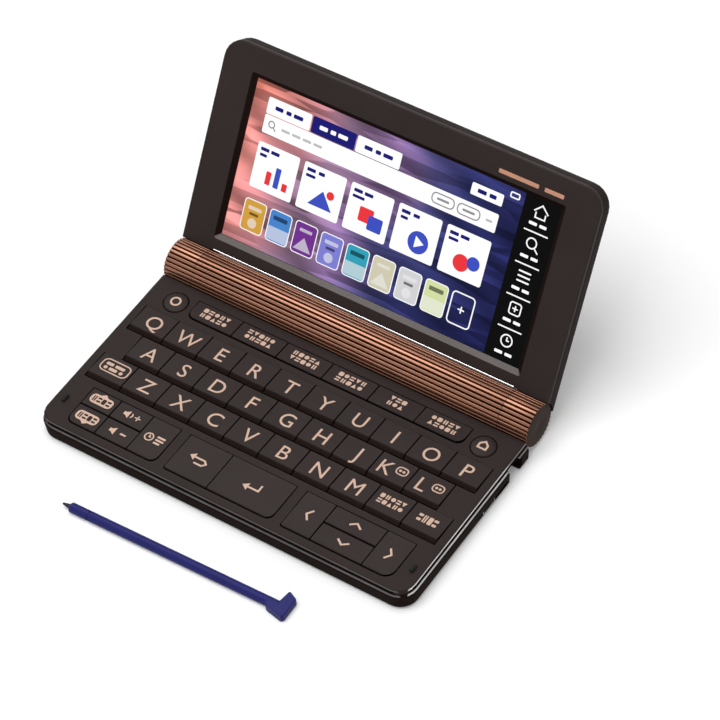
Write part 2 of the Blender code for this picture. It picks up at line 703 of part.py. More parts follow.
def key_openings():
    low = TOP_CASE_LOW - LOCATING_DEPTH
    high = DECK_HEIGHT + OVERRUN
    fronts = [letter_row_front(row) - KEY_FRONT_GAP for row in range(len(LETTER_ROWS))]
    back = letter_row_front(len(LETTER_ROWS)) - KEY_FRONT_GAP
    wide, narrow = [len(LETTER_ROWS[row]) * KEY_PITCH / 2 + KEY_GAP / 2 for row in (0, 1)]
    letters = [(-wide, fronts[0]), (wide, fronts[0]), (wide, fronts[1]), (narrow, fronts[1]),
               (narrow, fronts[2]), (wide, fronts[2]), (wide, back), (-wide, back),
               (-wide, fronts[2]), (-narrow, fronts[2]), (-narrow, fronts[1]), (-wide, fronts[1])]
    found = [("opening_letters", flat_solid("opening_letters", letters, low, high))]
    front, rear = function_edges()
    reach = FUNCTION_COUNT / 2 * FUNCTION_PITCH_SHARE * HALF_WIDTH + KEY_GAP / 2
    radii = (KEY_ROUND_CORNER, KEY_ROUND_CORNER, KEY_SHARP_CORNER, KEY_SHARP_CORNER)
    outline = rounded_rect(-reach, reach, front - KEY_FRONT_GAP, rear + SEAT_GAP, radii,
                           KEY_CORNER_STEPS)
    found.append(("opening_functions", flat_solid("opening_functions", outline, low, high)))
    front, _, rear = cluster_edges()
    groups = (
        ("opening_tools", TOOLS_GROUP_SHARES, KEY_ROUND_CORNER, KEY_ROUND_CORNER),
        ("opening_enter", ENTER_GROUP_SHARES, KEY_SMALL_CORNER, KEY_ROUND_CORNER),
        ("opening_arrows", ARROW_GROUP_SHARES, KEY_SMALL_CORNER, KEY_ARROW_CORNER),
    )
    for name, shares, left_radius, right_radius in groups:
        left = shares[0] * HALF_WIDTH - KEY_GAP / 2
        right = shares[-1] * HALF_WIDTH + KEY_GAP / 2
        radii = (left_radius, right_radius, KEY_SHARP_CORNER, KEY_SHARP_CORNER)
        outline = rounded_rect(left, right, front - KEY_FRONT_GAP, rear + SEAT_GAP, radii,
                               KEY_CORNER_STEPS)
        found.append((name, flat_solid(name, outline, low, high)))
    y = FRONT + ROUND_KEY_SHARE * DECK_DEPTH
    for name, share in (("opening_power", POWER_X_SHARE), ("opening_home", HOME_X_SHARE)):
        mesh = cylinder(name, share * HALF_WIDTH, y, low, high, ROUND_KEY_RADIUS + SEAT_GAP,
                        ROUND_KEY_SIDES)
        found.append((name, mesh))
    return found


def key_section(front, back, lip, rise):
    # The side view of a key: a low lip in front, a riser, and a top that falls to the deck behind.
    skirt = DECK_HEIGHT - KEY_SKIRT
    crest = DECK_HEIGHT + rise
    riser = front + lip
    points = [(front, skirt)]
    if lip:
        points += [(front, DECK_HEIGHT - KEY_LIP_DROP), (riser, DECK_HEIGHT - KEY_LIP_DROP)]
    points += [(riser + KEY_RISER_SLOPE, crest - KEY_BEVEL), (riser + KEY_RISER_SLOPE + KEY_BEVEL, crest),
               (back, DECK_HEIGHT), (back, skirt)]
    return points


def make_key(label, left, right, front, back, mat, lip=0.0, rise=KEY_RISE, radii=None):
    name = "key_" + label
    left = left + KEY_GAP / 2
    right = right - KEY_GAP / 2
    mesh = side_solid(name, key_section(front, back, lip, rise), left, right)
    key = add_part(name, mesh, mat)
    centre = ((left + right) / 2, (front + back) / 2, DECK_HEIGHT)
    if radii:
        outline = rounded_rect(left, right, front, back, radii, KEY_CORNER_STEPS)
        plan = flat_solid("plan_" + label, outline, DECK_HEIGHT - KEY_SKIRT - OVERRUN,
                          DECK_HEIGHT + KEY_RISE + OVERRUN)
        plan = add_tool("plan_" + label, plan)
        set_origin(plan, centre)
        boolean(key, plan, "INTERSECT")
    set_origin(key, centre)
    soften(key, KEY_EDGE)
    return centre


def make_round_key(label, share, mat):
    x = share * HALF_WIDTH
    y = FRONT + ROUND_KEY_SHARE * DECK_DEPTH
    crest = DECK_HEIGHT + KEY_LOW_RISE + ROUND_KEY_CROWN
    profile = [(0, crest), (ROUND_KEY_RADIUS / 2, crest), (ROUND_KEY_RADIUS - KEY_BEVEL,
                                                           DECK_HEIGHT + KEY_LOW_RISE),
               (ROUND_KEY_RADIUS, DECK_HEIGHT), (ROUND_KEY_RADIUS, DECK_HEIGHT - KEY_SKIRT),
               (0, DECK_HEIGHT - KEY_SKIRT)]
    name = "key_" + label
    key = add_part(name, turned(name, profile, ROUND_KEY_SIDES), mat)
    key.location = (x, y, 0)
    smooth(key)
    return (x, y, DECK_HEIGHT)


def make_letter_keys(mat):
    centres = []
    for row, labels in enumerate(LETTER_ROWS):
        front = letter_row_front(row)
        back = front + LETTER_PITCH - KEY_FRONT_GAP
        start = -len(labels) * KEY_PITCH / 2
        for i, label in enumerate(labels):
            left = start + i * KEY_PITCH
            centres.append(make_key(label, left, left + KEY_PITCH, front, back, mat, lip=KEY_LIP))
    return centres


def make_function_keys(mat):
    centres = []
    front, back = function_edges()
    pitch = FUNCTION_PITCH_SHARE * HALF_WIDTH
    for i in range(FUNCTION_COUNT):
        left = (i - FUNCTION_COUNT / 2) * pitch
        radii = [KEY_SHARP_CORNER] * 4
        if i == 0:
            radii[0] = KEY_ROUND_CORNER
        if i == FUNCTION_COUNT - 1:
            radii[1] = KEY_ROUND_CORNER
        rounded = radii if max(radii) > KEY_SHARP_CORNER else None
        label = "function_" + str(i + 1)
        centres.append(make_key(label, left, left + pitch, front, back, mat, radii=rounded))
    centres.append(make_round_key("power", POWER_X_SHARE, mat))
    centres.append(make_round_key("home", HOME_X_SHARE, mat))
    return centres


def make_cluster_keys(mat):
    front, split, back = cluster_edges()
    near = (front, split - KEY_GAP / 2)
    far = (split + KEY_GAP / 2, back)
    whole = (front, back)
    sharp = KEY_SHARP_CORNER
    tool = [share * HALF_WIDTH for share in TOOLS_GROUP_SHARES]
    enter = [share * HALF_WIDTH for share in ENTER_GROUP_SHARES]
    arrow = [share * HALF_WIDTH for share in ARROW_GROUP_SHARES]
    keys = (
        ("jump_back", tool[0], tool[1], far, None),
        ("jump_next", tool[0], tool[1], near, (KEY_ROUND_CORNER, sharp, sharp, sharp)),
        ("volume_up", tool[1], tool[2], far, None),
        ("volume_down", tool[1], tool[2], near, None),
        ("history", tool[2], tool[3], whole, (sharp, KEY_ROUND_CORNER, sharp, sharp)),
        ("back", enter[0], enter[1], whole, (KEY_SMALL_CORNER, sharp, sharp, sharp)),
        ("enter", enter[1], enter[2], whole, (sharp, KEY_ROUND_CORNER, sharp, sharp)),
        ("left", arrow[0], arrow[1], whole, (KEY_SMALL_CORNER, sharp, sharp, sharp)),
        ("up", arrow[1], arrow[2], far, None),
        ("down", arrow[1], arrow[2], near, None),
        ("right", arrow[2], arrow[3], whole, (sharp, KEY_ARROW_CORNER, sharp, sharp)),
    )
    return [make_key(label, left, right, span[0], span[1], mat, rise=KEY_LOW_RISE, radii=radii)
            for label, left, right, span, radii in keys]


def make_key_board(centres, mat):
    top = BOARD_LOW + BOARD_THICKNESS
    outline = rounded_rect(-BOARD_HALF_WIDTH, BOARD_HALF_WIDTH, FRONT + BOARD_FRONT, BOARD_BACK,
                           [BOARD_CORNER] * 4, KEY_CORNER_STEPS)
    board = add_part("key_board", flat_solid("key_board", outline, BOARD_LOW, top), mat)
    bm = bmesh.new()
    for x, y, _ in centres:
        y = min(y, BOARD_BACK - DOME_RADIUS - DOME_MARGIN)
        upright(bm, x, y, top - DOME_SINK, KEY_FLOOR, DOME_RADIUS, DOME_TOP_RADIUS, DOME_SIDES)
    mesh = bpy.data.meshes.new("domes")
    bm.to_mesh(mesh)
    bm.free()
    join(board, add_tool("domes", mesh))
    return board


def make_battery_cover(mat):
    # A flat cover with a tongue in front, turned up behind to close the open side of the tube.
    end = TUBE_REAR_END - TUBE_END_GAP
    lip = REAR_LIP - SEAT_GAP
    meet = 2 * math.pi - math.acos(lip / BARREL_RADIUS)
    outline = [(-COVER_TONGUE, -BARREL_HEIGHT), (lip, -BARREL_HEIGHT)]
    outline += arc((0, 0), BARREL_RADIUS, meet, end, TROUGH_SIDES // 6)
    outline += arc((0, 0), TUBE_BORE, end, 1.5 * math.pi, TROUGH_SIDES // 6)
    outline += [(COVER_STEP - BAY_FRONT + SEAT_GAP, COVER_FLOOR - BARREL_HEIGHT),
                (COVER_STEP - BAY_FRONT, COVER_SKIN - BARREL_HEIGHT),
                (-COVER_TONGUE, COVER_SKIN - BARREL_HEIGHT)]
    mesh = side_solid("battery_cover", on_axis(outline), -COVER_HALF_WIDTH, COVER_HALF_WIDTH)
    cover = add_part("battery_cover", mesh, mat)
    set_origin(cover, (0, AXIS_Y, 0))
    return cover


# Display lid, drawn closed in the hinge's own frame: reach runs to -Y and height to +Z

def lid_ring(inset, low):
    corner = LID_CORNER - min(inset, LID_CORNER / 2)
    root = LID_ROOT_CORNER
    return rounded_rect(inset - LID_HALF, LID_HALF - inset, inset - LID_REACH, -low - inset,
                        (corner, corner, root, root))


def lid_tools(label, hinge):
    # The gap over the fixed length of the barrel, and the seats of the two knuckles.
    low = LID_FACE - OVERRUN
    high = LID_BACK + OVERRUN
    gap = box("gap_" + label, (-TUBE_HALF - SEAT_GAP, -LID_ROOT, low),
              (TUBE_HALF + SEAT_GAP, 0, high))
    seat = axle("seat_" + label, -LID_HALF - OVERRUN, LID_HALF + OVERRUN, TROUGH_RADIUS, TROUGH_SIDES)
    seat.transform(Matrix.Translation(-AXIS))
    found = [add_tool("gap_" + label, gap), add_tool("seat_" + label, seat)]
    for obj in found:
        obj.parent = hinge
    return found


def make_rear_cover(mat, hinge):
    rings = [lid_ring(0, LID_ARM_ROOT)]
    heights = [REAR_COVER_LOW]
    for i in range(LID_BACK_STEPS + 1):
        angle = math.pi / 2 * i / LID_BACK_STEPS
        rings.append(lid_ring(LID_BACK_EDGE * (1 - math.cos(angle)), LID_ARM_ROOT))
        heights.append(LID_BACK - LID_BACK_EDGE * (1 - math.sin(angle)))
    cover = add_part("display_rear_cover", loft("display_rear_cover", rings, heights), mat)
    cover.parent = hinge
    cut(cover, *lid_tools("rear", hinge))
    outline = rounded_rect(LID_WALL - LID_HALF, LID_HALF - LID_WALL, LID_WALL - LID_REACH,
                           -LID_ROOT - LID_WALL,
                           (LID_CORNER - LID_WALL, LID_CORNER - LID_WALL, LID_ROOT_CORNER,
                            LID_ROOT_CORNER))
    pocket = add_tool("lid_pocket", flat_solid("lid_pocket", outline, REAR_COVER_LOW - OVERRUN,
                                               LID_BACK - LID_BACK_WALL))
    pocket.parent = hinge
    cut(cover, pocket)
    return cover


def make_bezel(mat, hinge):
    high = LID_FACE + BEZEL_THICKNESS
    rings = [lid_ring(LID_FRONT_EDGE, LID_ARM_ROOT), lid_ring(0, LID_ARM_ROOT),
             lid_ring(0, LID_ARM_ROOT)]
    bezel = add_part("display_bezel", loft("display_bezel", rings,
                                           [LID_FACE, LID_FACE + LID_FRONT_EDGE, high]), mat)
    bezel.parent = hinge
    cut(bezel, *lid_tools("bezel", hinge))
    window = []
    for outset in (WINDOW_CHAMFER, 0, -WINDOW_CHAMFER, -WINDOW_CHAMFER):
        window.append(window_outline(outset))
    slope = WINDOW_DEPTH
    heights = [LID_FACE - slope, LID_FACE, LID_FACE + slope, high + OVERRUN]
    opening = add_tool("window", loft("window", window, heights))
    opening.parent = hinge
    seat = [window_outline(PANEL_MARGIN + SEAT_GAP - WINDOW_CHAMFER)] * 2
    recess = add_tool("panel_seat", loft("panel_seat", seat, [LID_FACE + slope, high + OVERRUN]))
    recess.parent = hinge
    cut(bezel, opening, recess)
    return bezel


def window_outline(outset):
    half = WINDOW_HALF_WIDTH + outset
    radius = max(KEY_SHARP_CORNER, LID_ROOT_CORNER + outset / 2)
    return rounded_rect(-half, half, -WINDOW_HIGH - outset, -WINDOW_LOW + outset, [radius] * 4,
                        KEY_CORNER_STEPS)


def make_panel(mat, hinge):
    low = LID_FACE + WINDOW_DEPTH + SEAT_GAP
    high = LID_BACK - LID_BACK_WALL - PANEL_BACK_GAP
    outline = window_outline(PANEL_MARGIN - WINDOW_CHAMFER)
    panel = add_part("display_panel", flat_solid("display_panel", outline, low, high), mat)
    panel.parent = hinge
    return panel


# Stylus

def make_stylus(mat):
    shaft_end = STYLUS_LENGTH - HOOK_LENGTH / 2
    shaft_start = TIP_LENGTH
    groove_end = GROOVE_PLACE + GROOVE_WIDTH
    profile = [(0, shaft_end), (STYLUS_RADIUS, shaft_end), (STYLUS_RADIUS, groove_end),
               (STYLUS_RADIUS - GROOVE_DEPTH, groove_end), (STYLUS_RADIUS - GROOVE_DEPTH, GROOVE_PLACE),
               (STYLUS_RADIUS, GROOVE_PLACE), (STYLUS_RADIUS, shaft_start + SHAFT_CHAMFER),
               (STYLUS_RADIUS - SHAFT_CHAMFER, shaft_start), (TIP_ROOT_RADIUS, shaft_start),
               (TIP_RADIUS, TIP_RADIUS), (0, 0)]
    mesh = turned("stylus", profile, STYLUS_SIDES)
    mesh.transform(Matrix.Rotation(math.pi / 2, 4, "Y"))
    stylus = add_part("stylus", mesh, mat)
    start = STYLUS_LENGTH - HOOK_LENGTH
    arm = STYLUS_LENGTH - HOOK_ARM
    half = STYLUS_RADIUS
    outline = [(start - HOOK_RADIUS, -half / 2), (start + HOOK_RADIUS, -half - HOOK_RADIUS),
               (STYLUS_LENGTH - HOOK_RADIUS, -HOOK_HEEL), (STYLUS_LENGTH, HOOK_RADIUS - HOOK_HEEL),
               (STYLUS_LENGTH, HOOK_REACH - 2 * HOOK_RADIUS), (arm + HOOK_RADIUS, HOOK_REACH),
               (arm, HOOK_REACH), (arm - HOOK_RADIUS, half / 2), (start - HOOK_RADIUS, half / 2)]
    hook = add_tool("hook", flat_solid("hook", outline, -HOOK_THICKNESS / 2, HOOK_THICKNESS / 2))
    soften(hook, HOOK_RADIUS, 2)
    join(stylus, hook)
    place = (STYLUS_TIP_X, FRONT - STYLUS_TIP_SETOUT, STYLUS_RADIUS - FOOT_HEIGHT)
    for obj in (stylus, hook):
        obj.location = place
        obj.rotation_euler = (0, 0, STYLUS_TURN)
    return stylus


def build():
    body = make_material("body_plastic", (0.034, 0.026, 0.025), 0.55, 0.0)
    key_plastic = make_material("key_plastic", (0.036, 0.028, 0.028), 0.60, 0.0)
    copper = make_material("copper_barrel", (0.560, 0.250, 0.135), 0.30, 0.9)
    screen = make_material("screen", (0.30, 0.10, 0.22), 0.12, 0.0)
    board_green = make_material("board", (0.03, 0.12, 0.06), 0.50, 0.0)
    cell = make_material("cell_sleeve", (0.20, 0.21, 0.22), 0.40, 0.3)
    pen = make_material("pen_plastic", (0.030, 0.030, 0.260), 0.40, 0.0)

    hinge = bpy.data.objects.new("display_hinge", None)
    parts.objects.link(hinge)
    hinge.location = AXIS
    hinge.rotation_euler = (-LID_OPENING, 0, 0)

    make_top_case(body)
    make_bottom_case(body)
    make_battery_cover(body)
    make_hinge_barrel(copper)
    make_battery_pair(cell)
    centres = make_letter_keys(key_plastic)
    centres += make_function_keys(key_plastic)
    centres += make_cluster_keys(key_plastic)
    make_key_board(centres, board_green)
    make_knuckle(-1, "left", copper, hinge)
    make_knuckle(1, "right", copper, hinge)
    make_rear_cover(body, hinge)
    make_bezel(body, hinge)
    make_panel(screen, hinge)
    make_stylus(pen)


clear_scene()
parts = new_collection("electronic_dictionary")
tools = new_collection("cutters")
build()
bpy.context.view_layer.update()
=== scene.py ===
# Looks for an electronic dictionary: a dark clamshell with a ribbed copper hinge barrel,
# a field of printed keys, a lit screen and a loose stylus. Metres, in the CAD's own frame.
import json
import math

import bmesh
import bpy
from mathutils import Matrix, Vector

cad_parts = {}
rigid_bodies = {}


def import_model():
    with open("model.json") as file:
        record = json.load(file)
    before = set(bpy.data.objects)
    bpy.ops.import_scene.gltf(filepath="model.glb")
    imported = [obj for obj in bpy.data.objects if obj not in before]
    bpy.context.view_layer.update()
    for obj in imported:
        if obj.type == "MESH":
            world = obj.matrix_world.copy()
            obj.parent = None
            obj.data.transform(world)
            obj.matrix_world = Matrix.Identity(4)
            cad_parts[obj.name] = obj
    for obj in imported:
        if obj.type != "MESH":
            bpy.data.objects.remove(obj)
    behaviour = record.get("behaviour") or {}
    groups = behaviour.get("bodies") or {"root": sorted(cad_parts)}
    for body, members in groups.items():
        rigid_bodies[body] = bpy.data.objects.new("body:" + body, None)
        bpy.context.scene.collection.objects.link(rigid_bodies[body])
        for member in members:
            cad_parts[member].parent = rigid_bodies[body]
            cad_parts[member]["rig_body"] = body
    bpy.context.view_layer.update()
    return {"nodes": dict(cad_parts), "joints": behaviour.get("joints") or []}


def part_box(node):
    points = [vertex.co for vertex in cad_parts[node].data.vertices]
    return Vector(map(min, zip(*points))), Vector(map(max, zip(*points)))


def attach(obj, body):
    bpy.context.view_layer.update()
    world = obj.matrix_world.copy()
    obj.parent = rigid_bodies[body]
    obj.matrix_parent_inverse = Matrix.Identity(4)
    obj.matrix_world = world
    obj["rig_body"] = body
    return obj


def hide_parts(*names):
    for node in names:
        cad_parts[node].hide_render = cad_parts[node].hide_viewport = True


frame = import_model()
nodes = frame["nodes"]
hinge = next(joint for joint in frame["joints"] if joint["name"] == "display_hinge")
axisPoint = Vector(hinge["pos_m"])
lidOpening = math.radians(-hinge["range_deg"][0])    # the CAD lid stands open by this much

mergeDistance = 0.000001
mitreLimit = 0.35    # keeps a sharp corner of a drawn line from growing a spike
# stands a flat drawing on the YZ plane
sideways = Matrix(((0, 0, 1), (1, 0, 0), (0, 1, 0))).to_4x4()


# small helpers

def linkObject(name, data):
    piece = bpy.data.objects.new(name, data)
    bpy.context.scene.collection.objects.link(piece)
    return piece


finishes = {}    # every material by its name


def finishPiece(piece, body, finish=None, replaced=()):
    # gives the piece its finish, and ties it to a CAD body and a material slot
    if finish:
        piece.data.materials.clear()
        piece.data.materials.append(finishes[finish])
    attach(piece, body)
    if replaced:
        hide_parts(*replaced)
    return piece


def refinish(piece, finish, chosen):
    # gives the faces that the test picks another finish
    piece.data.materials.append(finishes[finish])
    index = len(piece.data.materials) - 1
    for face in piece.data.polygons:
        if chosen(face):
            face.material_index = index


def bakeModifiers(piece):
    # turns the piece and its modifiers into one plain mesh
    graph = bpy.context.evaluated_depsgraph_get()
    plain = bpy.data.meshes.new_from_object(piece.evaluated_get(graph))
    old = piece.data
    piece.modifiers.clear()
    piece.data = plain
    if old.users == 0:
        bpy.data.meshes.remove(old)
    return piece


def smoothEdges(mesh, angle=38):
    mesh.shade_smooth()
    mesh.set_sharp_from_angle(angle=math.radians(angle))


def arcPoints(x, y, radius, start, end, steps):
    turn = math.radians(end - start) / steps
    first = math.radians(start)
    return [(x + radius * math.cos(first + turn * i), y + radius * math.sin(first + turn * i))
            for i in range(steps + 1)]


def circlePoints(x, y, radius, sides):
    return arcPoints(x, y, radius, 0, 360, sides)[:-1]


def roundedBox(left, right, low, high, radius, steps=5):
    points = []
    for x, y, start in ((right - radius, high - radius, 0), (left + radius, high - radius, 90),
                        (left + radius, low + radius, 180), (right - radius, low + radius, 270)):
        points += arcPoints(x, y, radius, start, start + 90, steps)
    return points


def faceUp(face):
    face.normal_update()
    if face.normal.z < 0:
        face.normal_flip()


def fillShape(bm, points, height=0.0):
    # a flat face with this outline
    face = bm.faces.new([bm.verts.new((x, y, height)) for x, y in points])
    faceUp(face)
    return face


def strokeShape(bm, points, width, closed=False, height=0.0):
    # a flat line of constant width along the points, with mitred corners
    count = len(points)
    places = [Vector(p) for p in points]
    sides = []
    for i, here in enumerate(places):
        before = places[i - 1] if (i or closed) else None
        after = places[(i + 1) % count] if (i < count - 1 or closed) else None
        ways = [(b - a).normalized() for a, b in ((before, here), (here, after))
                if a is not None and b is not None]
        along = sum(ways, Vector((0, 0))).normalized()
        across = Vector((-along.y, along.x))
        reach = width / 2 / max(mitreLimit, abs(across.dot(Vector((-ways[0].y, ways[0].x)))))
        sides.append([bm.verts.new((*(here + across * reach * s), height)) for s in (1, -1)])
    faces = []
    for i in range(count if closed else count - 1):
        a, b = sides[i], sides[(i + 1) % count]
        faces.append(bm.faces.new((a[0], a[1], b[1], b[0])))
        faceUp(faces[-1])
    return faces


def paint(bm, faces, tint):
    if tint is None:
        return
    layer = bm.loops.layers.float_color.get("tint") or bm.loops.layers.float_color.new("tint")
    for face in faces:
        for loop in face.loops:
            loop[layer] = (*tint, 1.0)


def thicken(bm, faces, depth):
    # makes flat faces into solids that reach down by the depth
    made = bmesh.ops.extrude_face_region(bm, geom=faces, use_keep_orig=True)["geom"]
    bmesh.ops.translate(bm, verts=[v for v in made if isinstance(v, bmesh.types.BMVert)],
                        vec=(0, 0, -depth))


def slab(bm, outline, back, front):
    thicken(bm, [fillShape(bm, outline, front)], front - back)


def ringSlab(bm, outer, inner, back, front):
    # a closed band between two outlines with the same number of points
    loops = [[bm.verts.new((x, y, level)) for x, y in outline]
             for outline, level in ((outer, back), (outer, front), (inner, front), (inner, back))]
    for first, second in zip(loops, loops[1:] + loops[:1]):
        for i in range(len(first)):
            j = (i + 1) % len(first)
            bm.faces.new((first[i], first[j], second[j], second[i]))


def meshFrom(bm, name, place=None):
    if place:
        bmesh.ops.transform(bm, matrix=place, verts=bm.verts)
    mesh = bpy.data.meshes.new(name)
    bm.to_mesh(mesh)
    bm.free()
    return mesh


def solidPiece(bm, name, place=None):
    bmesh.ops.recalc_face_normals(bm, faces=bm.faces[:])
    return linkObject(name, meshFrom(bm, name, place))


# node building

socketKinds = {float: "NodeSocketFloat", int: "NodeSocketInt", tuple: "NodeSocketVector"}


def feed(tree, target, source):
    # links an output to an input, or sets the input's own value
    if isinstance(source, bpy.types.NodeSocket):
        tree.links.new(source, target)
    elif target.type == "RGBA":
        target.default_value = (*source[:3], 1.0)
    else:
        target.default_value = source


def feedAll(tree, node, inputs):
    for name, source in inputs.items():
        feed(tree, node.inputs[name], source)


def addNode(tree, kind, inputs=None, **settings):
    node = tree.nodes.new(kind)
    for key, value in settings.items():
        setattr(node, key, value)
    feedAll(tree, node, inputs or {})
    return node


def newGroup(kind, name, inputs, outputs):
    # an input is given by its first value, or by its kind of socket where it has none
    tree = bpy.data.node_groups.new(name, kind)
    for label, value in inputs.items():
        plain = isinstance(value, str)
        socket = tree.interface.new_socket(
            label, in_out="INPUT", socket_type=value if plain else socketKinds[type(value)])
        if not plain:
            socket.default_value = value
    for label, socketKind in outputs.items():
        tree.interface.new_socket(label, in_out="OUTPUT", socket_type=socketKind)
    return tree, addNode(tree, "NodeGroupInput").outputs, addNode(tree, "NodeGroupOutput").inputs


def calc(tree, operation, *values):
    return addNode(tree, "ShaderNodeMath", dict(enumerate(values)), operation=operation).outputs[0]


def product(tree, first, *others):
    for other in others:
        first = calc(tree, "MULTIPLY", first, other)
    return first


def remap(tree, value, fromLow, fromHigh, toLow, toHigh, shape="LINEAR"):
    return addNode(tree, "ShaderNodeMapRange", {
        "Value": value, "From Min": fromLow, "From Max": fromHigh, "To Min": toLow,
        "To Max": toHigh}, interpolation_type=shape).outputs["Result"]


def vectorCalc(tree, operation, *values, output="Vector"):
    node = addNode(tree, "ShaderNodeVectorMath", dict(enumerate(values)), operation=operation)
    return node.outputs[output]


def partsOf(tree, vector):
    return addNode(tree, "ShaderNodeSeparateXYZ", {"Vector": vector}).outputs


def joined(tree, x, y, z):
    return addNode(tree, "ShaderNodeCombineXYZ", {"X": x, "Y": y, "Z": z}).outputs["Vector"]


def noise(tree, where, scale, **others):
    return addNode(tree, "ShaderNodeTexNoise", {"Vector": where, "Scale": scale, **others}
                   ).outputs["Fac"]


def blendColours(tree, share, first, second, mode="MIX"):
    # 6, 7 and 2 are the node's colour sockets
    return addNode(tree, "ShaderNodeMix", {"Factor": share, 6: first, 7: second},
                   data_type="RGBA", blend_type=mode).outputs[2]


def shadedBy(tree, colour, shade):
    return blendColours(tree, 1.0, colour, shade, "MULTIPLY")


def useGroup(tree, group, **values):
    named = {name.replace("_", " "): value for name, value in values.items()}
    return addNode(tree, "ShaderNodeGroup", named, node_tree=group).outputs


# shader groups

noiseSpan = (0.3, 0.7)    # where most of a noise's values lie
grainForm = {"fineDetail": 3.0, "fineRoughness": 0.6, "patchDetail": 4.0, "patchShare": 0.65,
             "fineShare": 0.35}
wearForm = {"samples": 6, "turned": (0.995, 0.90), "detail": 5.0, "patches": (0.35, 0.65),
            "strength": (0.25, 1.0)}
smudgeForm = {"detail": 6.0, "distortion": 0.8, "patches": (0.45, 0.75)}


def buildGrainGroup():
    # fine moulded texture: a bump height, and a slow shade change over the surface
    tree, given, result = newGroup(
        "ShaderNodeTree", "mouldedGrain",
        {"Vector": "NodeSocketVector", "Scale": 4000.0, "Patch Scale": 60.0, "Contrast": 0.1},
        {"Height": "NodeSocketFloat", "Shade": "NodeSocketFloat"})
    fine = noise(tree, given["Vector"], given["Scale"], Detail=grainForm["fineDetail"],
                 Roughness=grainForm["fineRoughness"])
    patch = noise(tree, given["Vector"], given["Patch Scale"], Detail=grainForm["patchDetail"])
    mixed = calc(tree, "ADD", product(tree, patch, grainForm["patchShare"]),
                 product(tree, fine, grainForm["fineShare"]))
    low = calc(tree, "SUBTRACT", 1.0, given["Contrast"])
    high = calc(tree, "ADD", 1.0, given["Contrast"])
    feed(tree, result["Height"], fine)
    feed(tree, result["Shade"], remap(tree, mixed, *noiseSpan, low, high))
    return tree


def buildWearGroup():
    # a mask along sharp edges, broken up by noise
    tree, given, result = newGroup(
        "ShaderNodeTree", "edgeWear",
        {"Vector": "NodeSocketVector", "Radius": 0.0003, "Amount": 0.5, "Break Up": 500.0},
        {"Mask": "NodeSocketFloat"})
    rounded = addNode(tree, "ShaderNodeBevel", {"Radius": given["Radius"]},
                      samples=wearForm["samples"])
    plain = addNode(tree, "ShaderNodeNewGeometry")
    turned = vectorCalc(tree, "DOT_PRODUCT", rounded.outputs["Normal"], plain.outputs["Normal"],
                        output="Value")
    edge = remap(tree, turned, *wearForm["turned"], 0.0, 1.0)
    patches = noise(tree, given["Vector"], given["Break Up"], Detail=wearForm["detail"])
    patchy = remap(tree, patches, *wearForm["patches"], *wearForm["strength"])
    feed(tree, result["Mask"], product(tree, edge, patchy, given["Amount"]))
    return tree


def buildSmudgeGroup():
    # handling marks on a shiny surface: a roughness that changes in soft patches
    tree, given, result = newGroup(
        "ShaderNodeTree", "handlingMarks",
        {"Vector": "NodeSocketVector", "Scale": 40.0, "Clean": 0.05, "Marked": 0.2},
        {"Roughness": "NodeSocketFloat"})
    marks = noise(tree, given["Vector"], given["Scale"], Detail=smudgeForm["detail"],
                  Distortion=smudgeForm["distortion"])
    feed(tree, result["Roughness"],
         remap(tree, marks, *smudgeForm["patches"], given["Clean"], given["Marked"]))
    return tree


print("shader groups")
grainGroup = buildGrainGroup()
wearGroup = buildWearGroup()
smudgeGroup = buildSmudgeGroup()


# surface materials

def newMaterial(name):
    mat = bpy.data.materials.new(name)
    mat.use_nodes = True
    finishes[name] = mat
    return mat.node_tree, mat.node_tree.nodes["Principled BSDF"]


def objectPlace(tree):
    return addNode(tree, "ShaderNodeTexCoord").outputs["Object"]


def grainOf(tree, where, look):
    return useGroup(tree, grainGroup, Vector=where, Scale=look["grainScale"],
                    Patch_Scale=look["patchScale"], Contrast=look["contrast"])


def marksOf(tree, where, look):
    return useGroup(tree, smudgeGroup, Vector=where, Scale=look["markScale"],
                    Clean=look["clean"], Marked=look["marked"])["Roughness"]


def rimHighlightMask(tree, where, look):
    # painted highlight lines along the two case edges, strong at the sides and faint in front
    at = partsOf(tree, where)
    soft = look["rimSoft"]
    side = remap(tree, calc(tree, "ABSOLUTE", at["X"]), look["rimSide"], look["rimSide"] + soft,
                 0.0, look["sideShine"])
    front = remap(tree, at["Y"], look["rimFront"], look["rimFront"] - soft,
                  0.0, look["frontShine"])
    away = calc(tree, "ABSOLUTE", calc(tree, "SUBTRACT", at["Z"], look["rimLevel"]))
    core, fade = (look["rimWidth"] * share for share in look["rimShares"])
    line = remap(tree, away, core, fade, 1.0, 0.0)
    broken = remap(tree, noise(tree, where, look["rimPatch"]), *look["rimPatches"],
                   look["rimFaint"], 1.0)
    before = remap(tree, at["Y"], look["rimEnd"], look["rimEnd"] + look["rearSoft"],
                   1.0, look["rearShine"])
    return product(tree, calc(tree, "MAXIMUM", side, front), line, broken, before)


def grooveShadeMask(tree, where, look):
    # painted shade in the rib grooves: how deep a point lies between the ribs, from its distance
    # to the hinge axis
    away = vectorCalc(tree, "SUBTRACT", where, axisPoint)
    reach = vectorCalc(tree, "LENGTH", vectorCalc(tree, "MULTIPLY", away, (0.0, 1.0, 1.0)),
                       output="Value")
    return remap(tree, reach, look["grooveTop"], look["grooveFoot"], 0.0, 1.0)


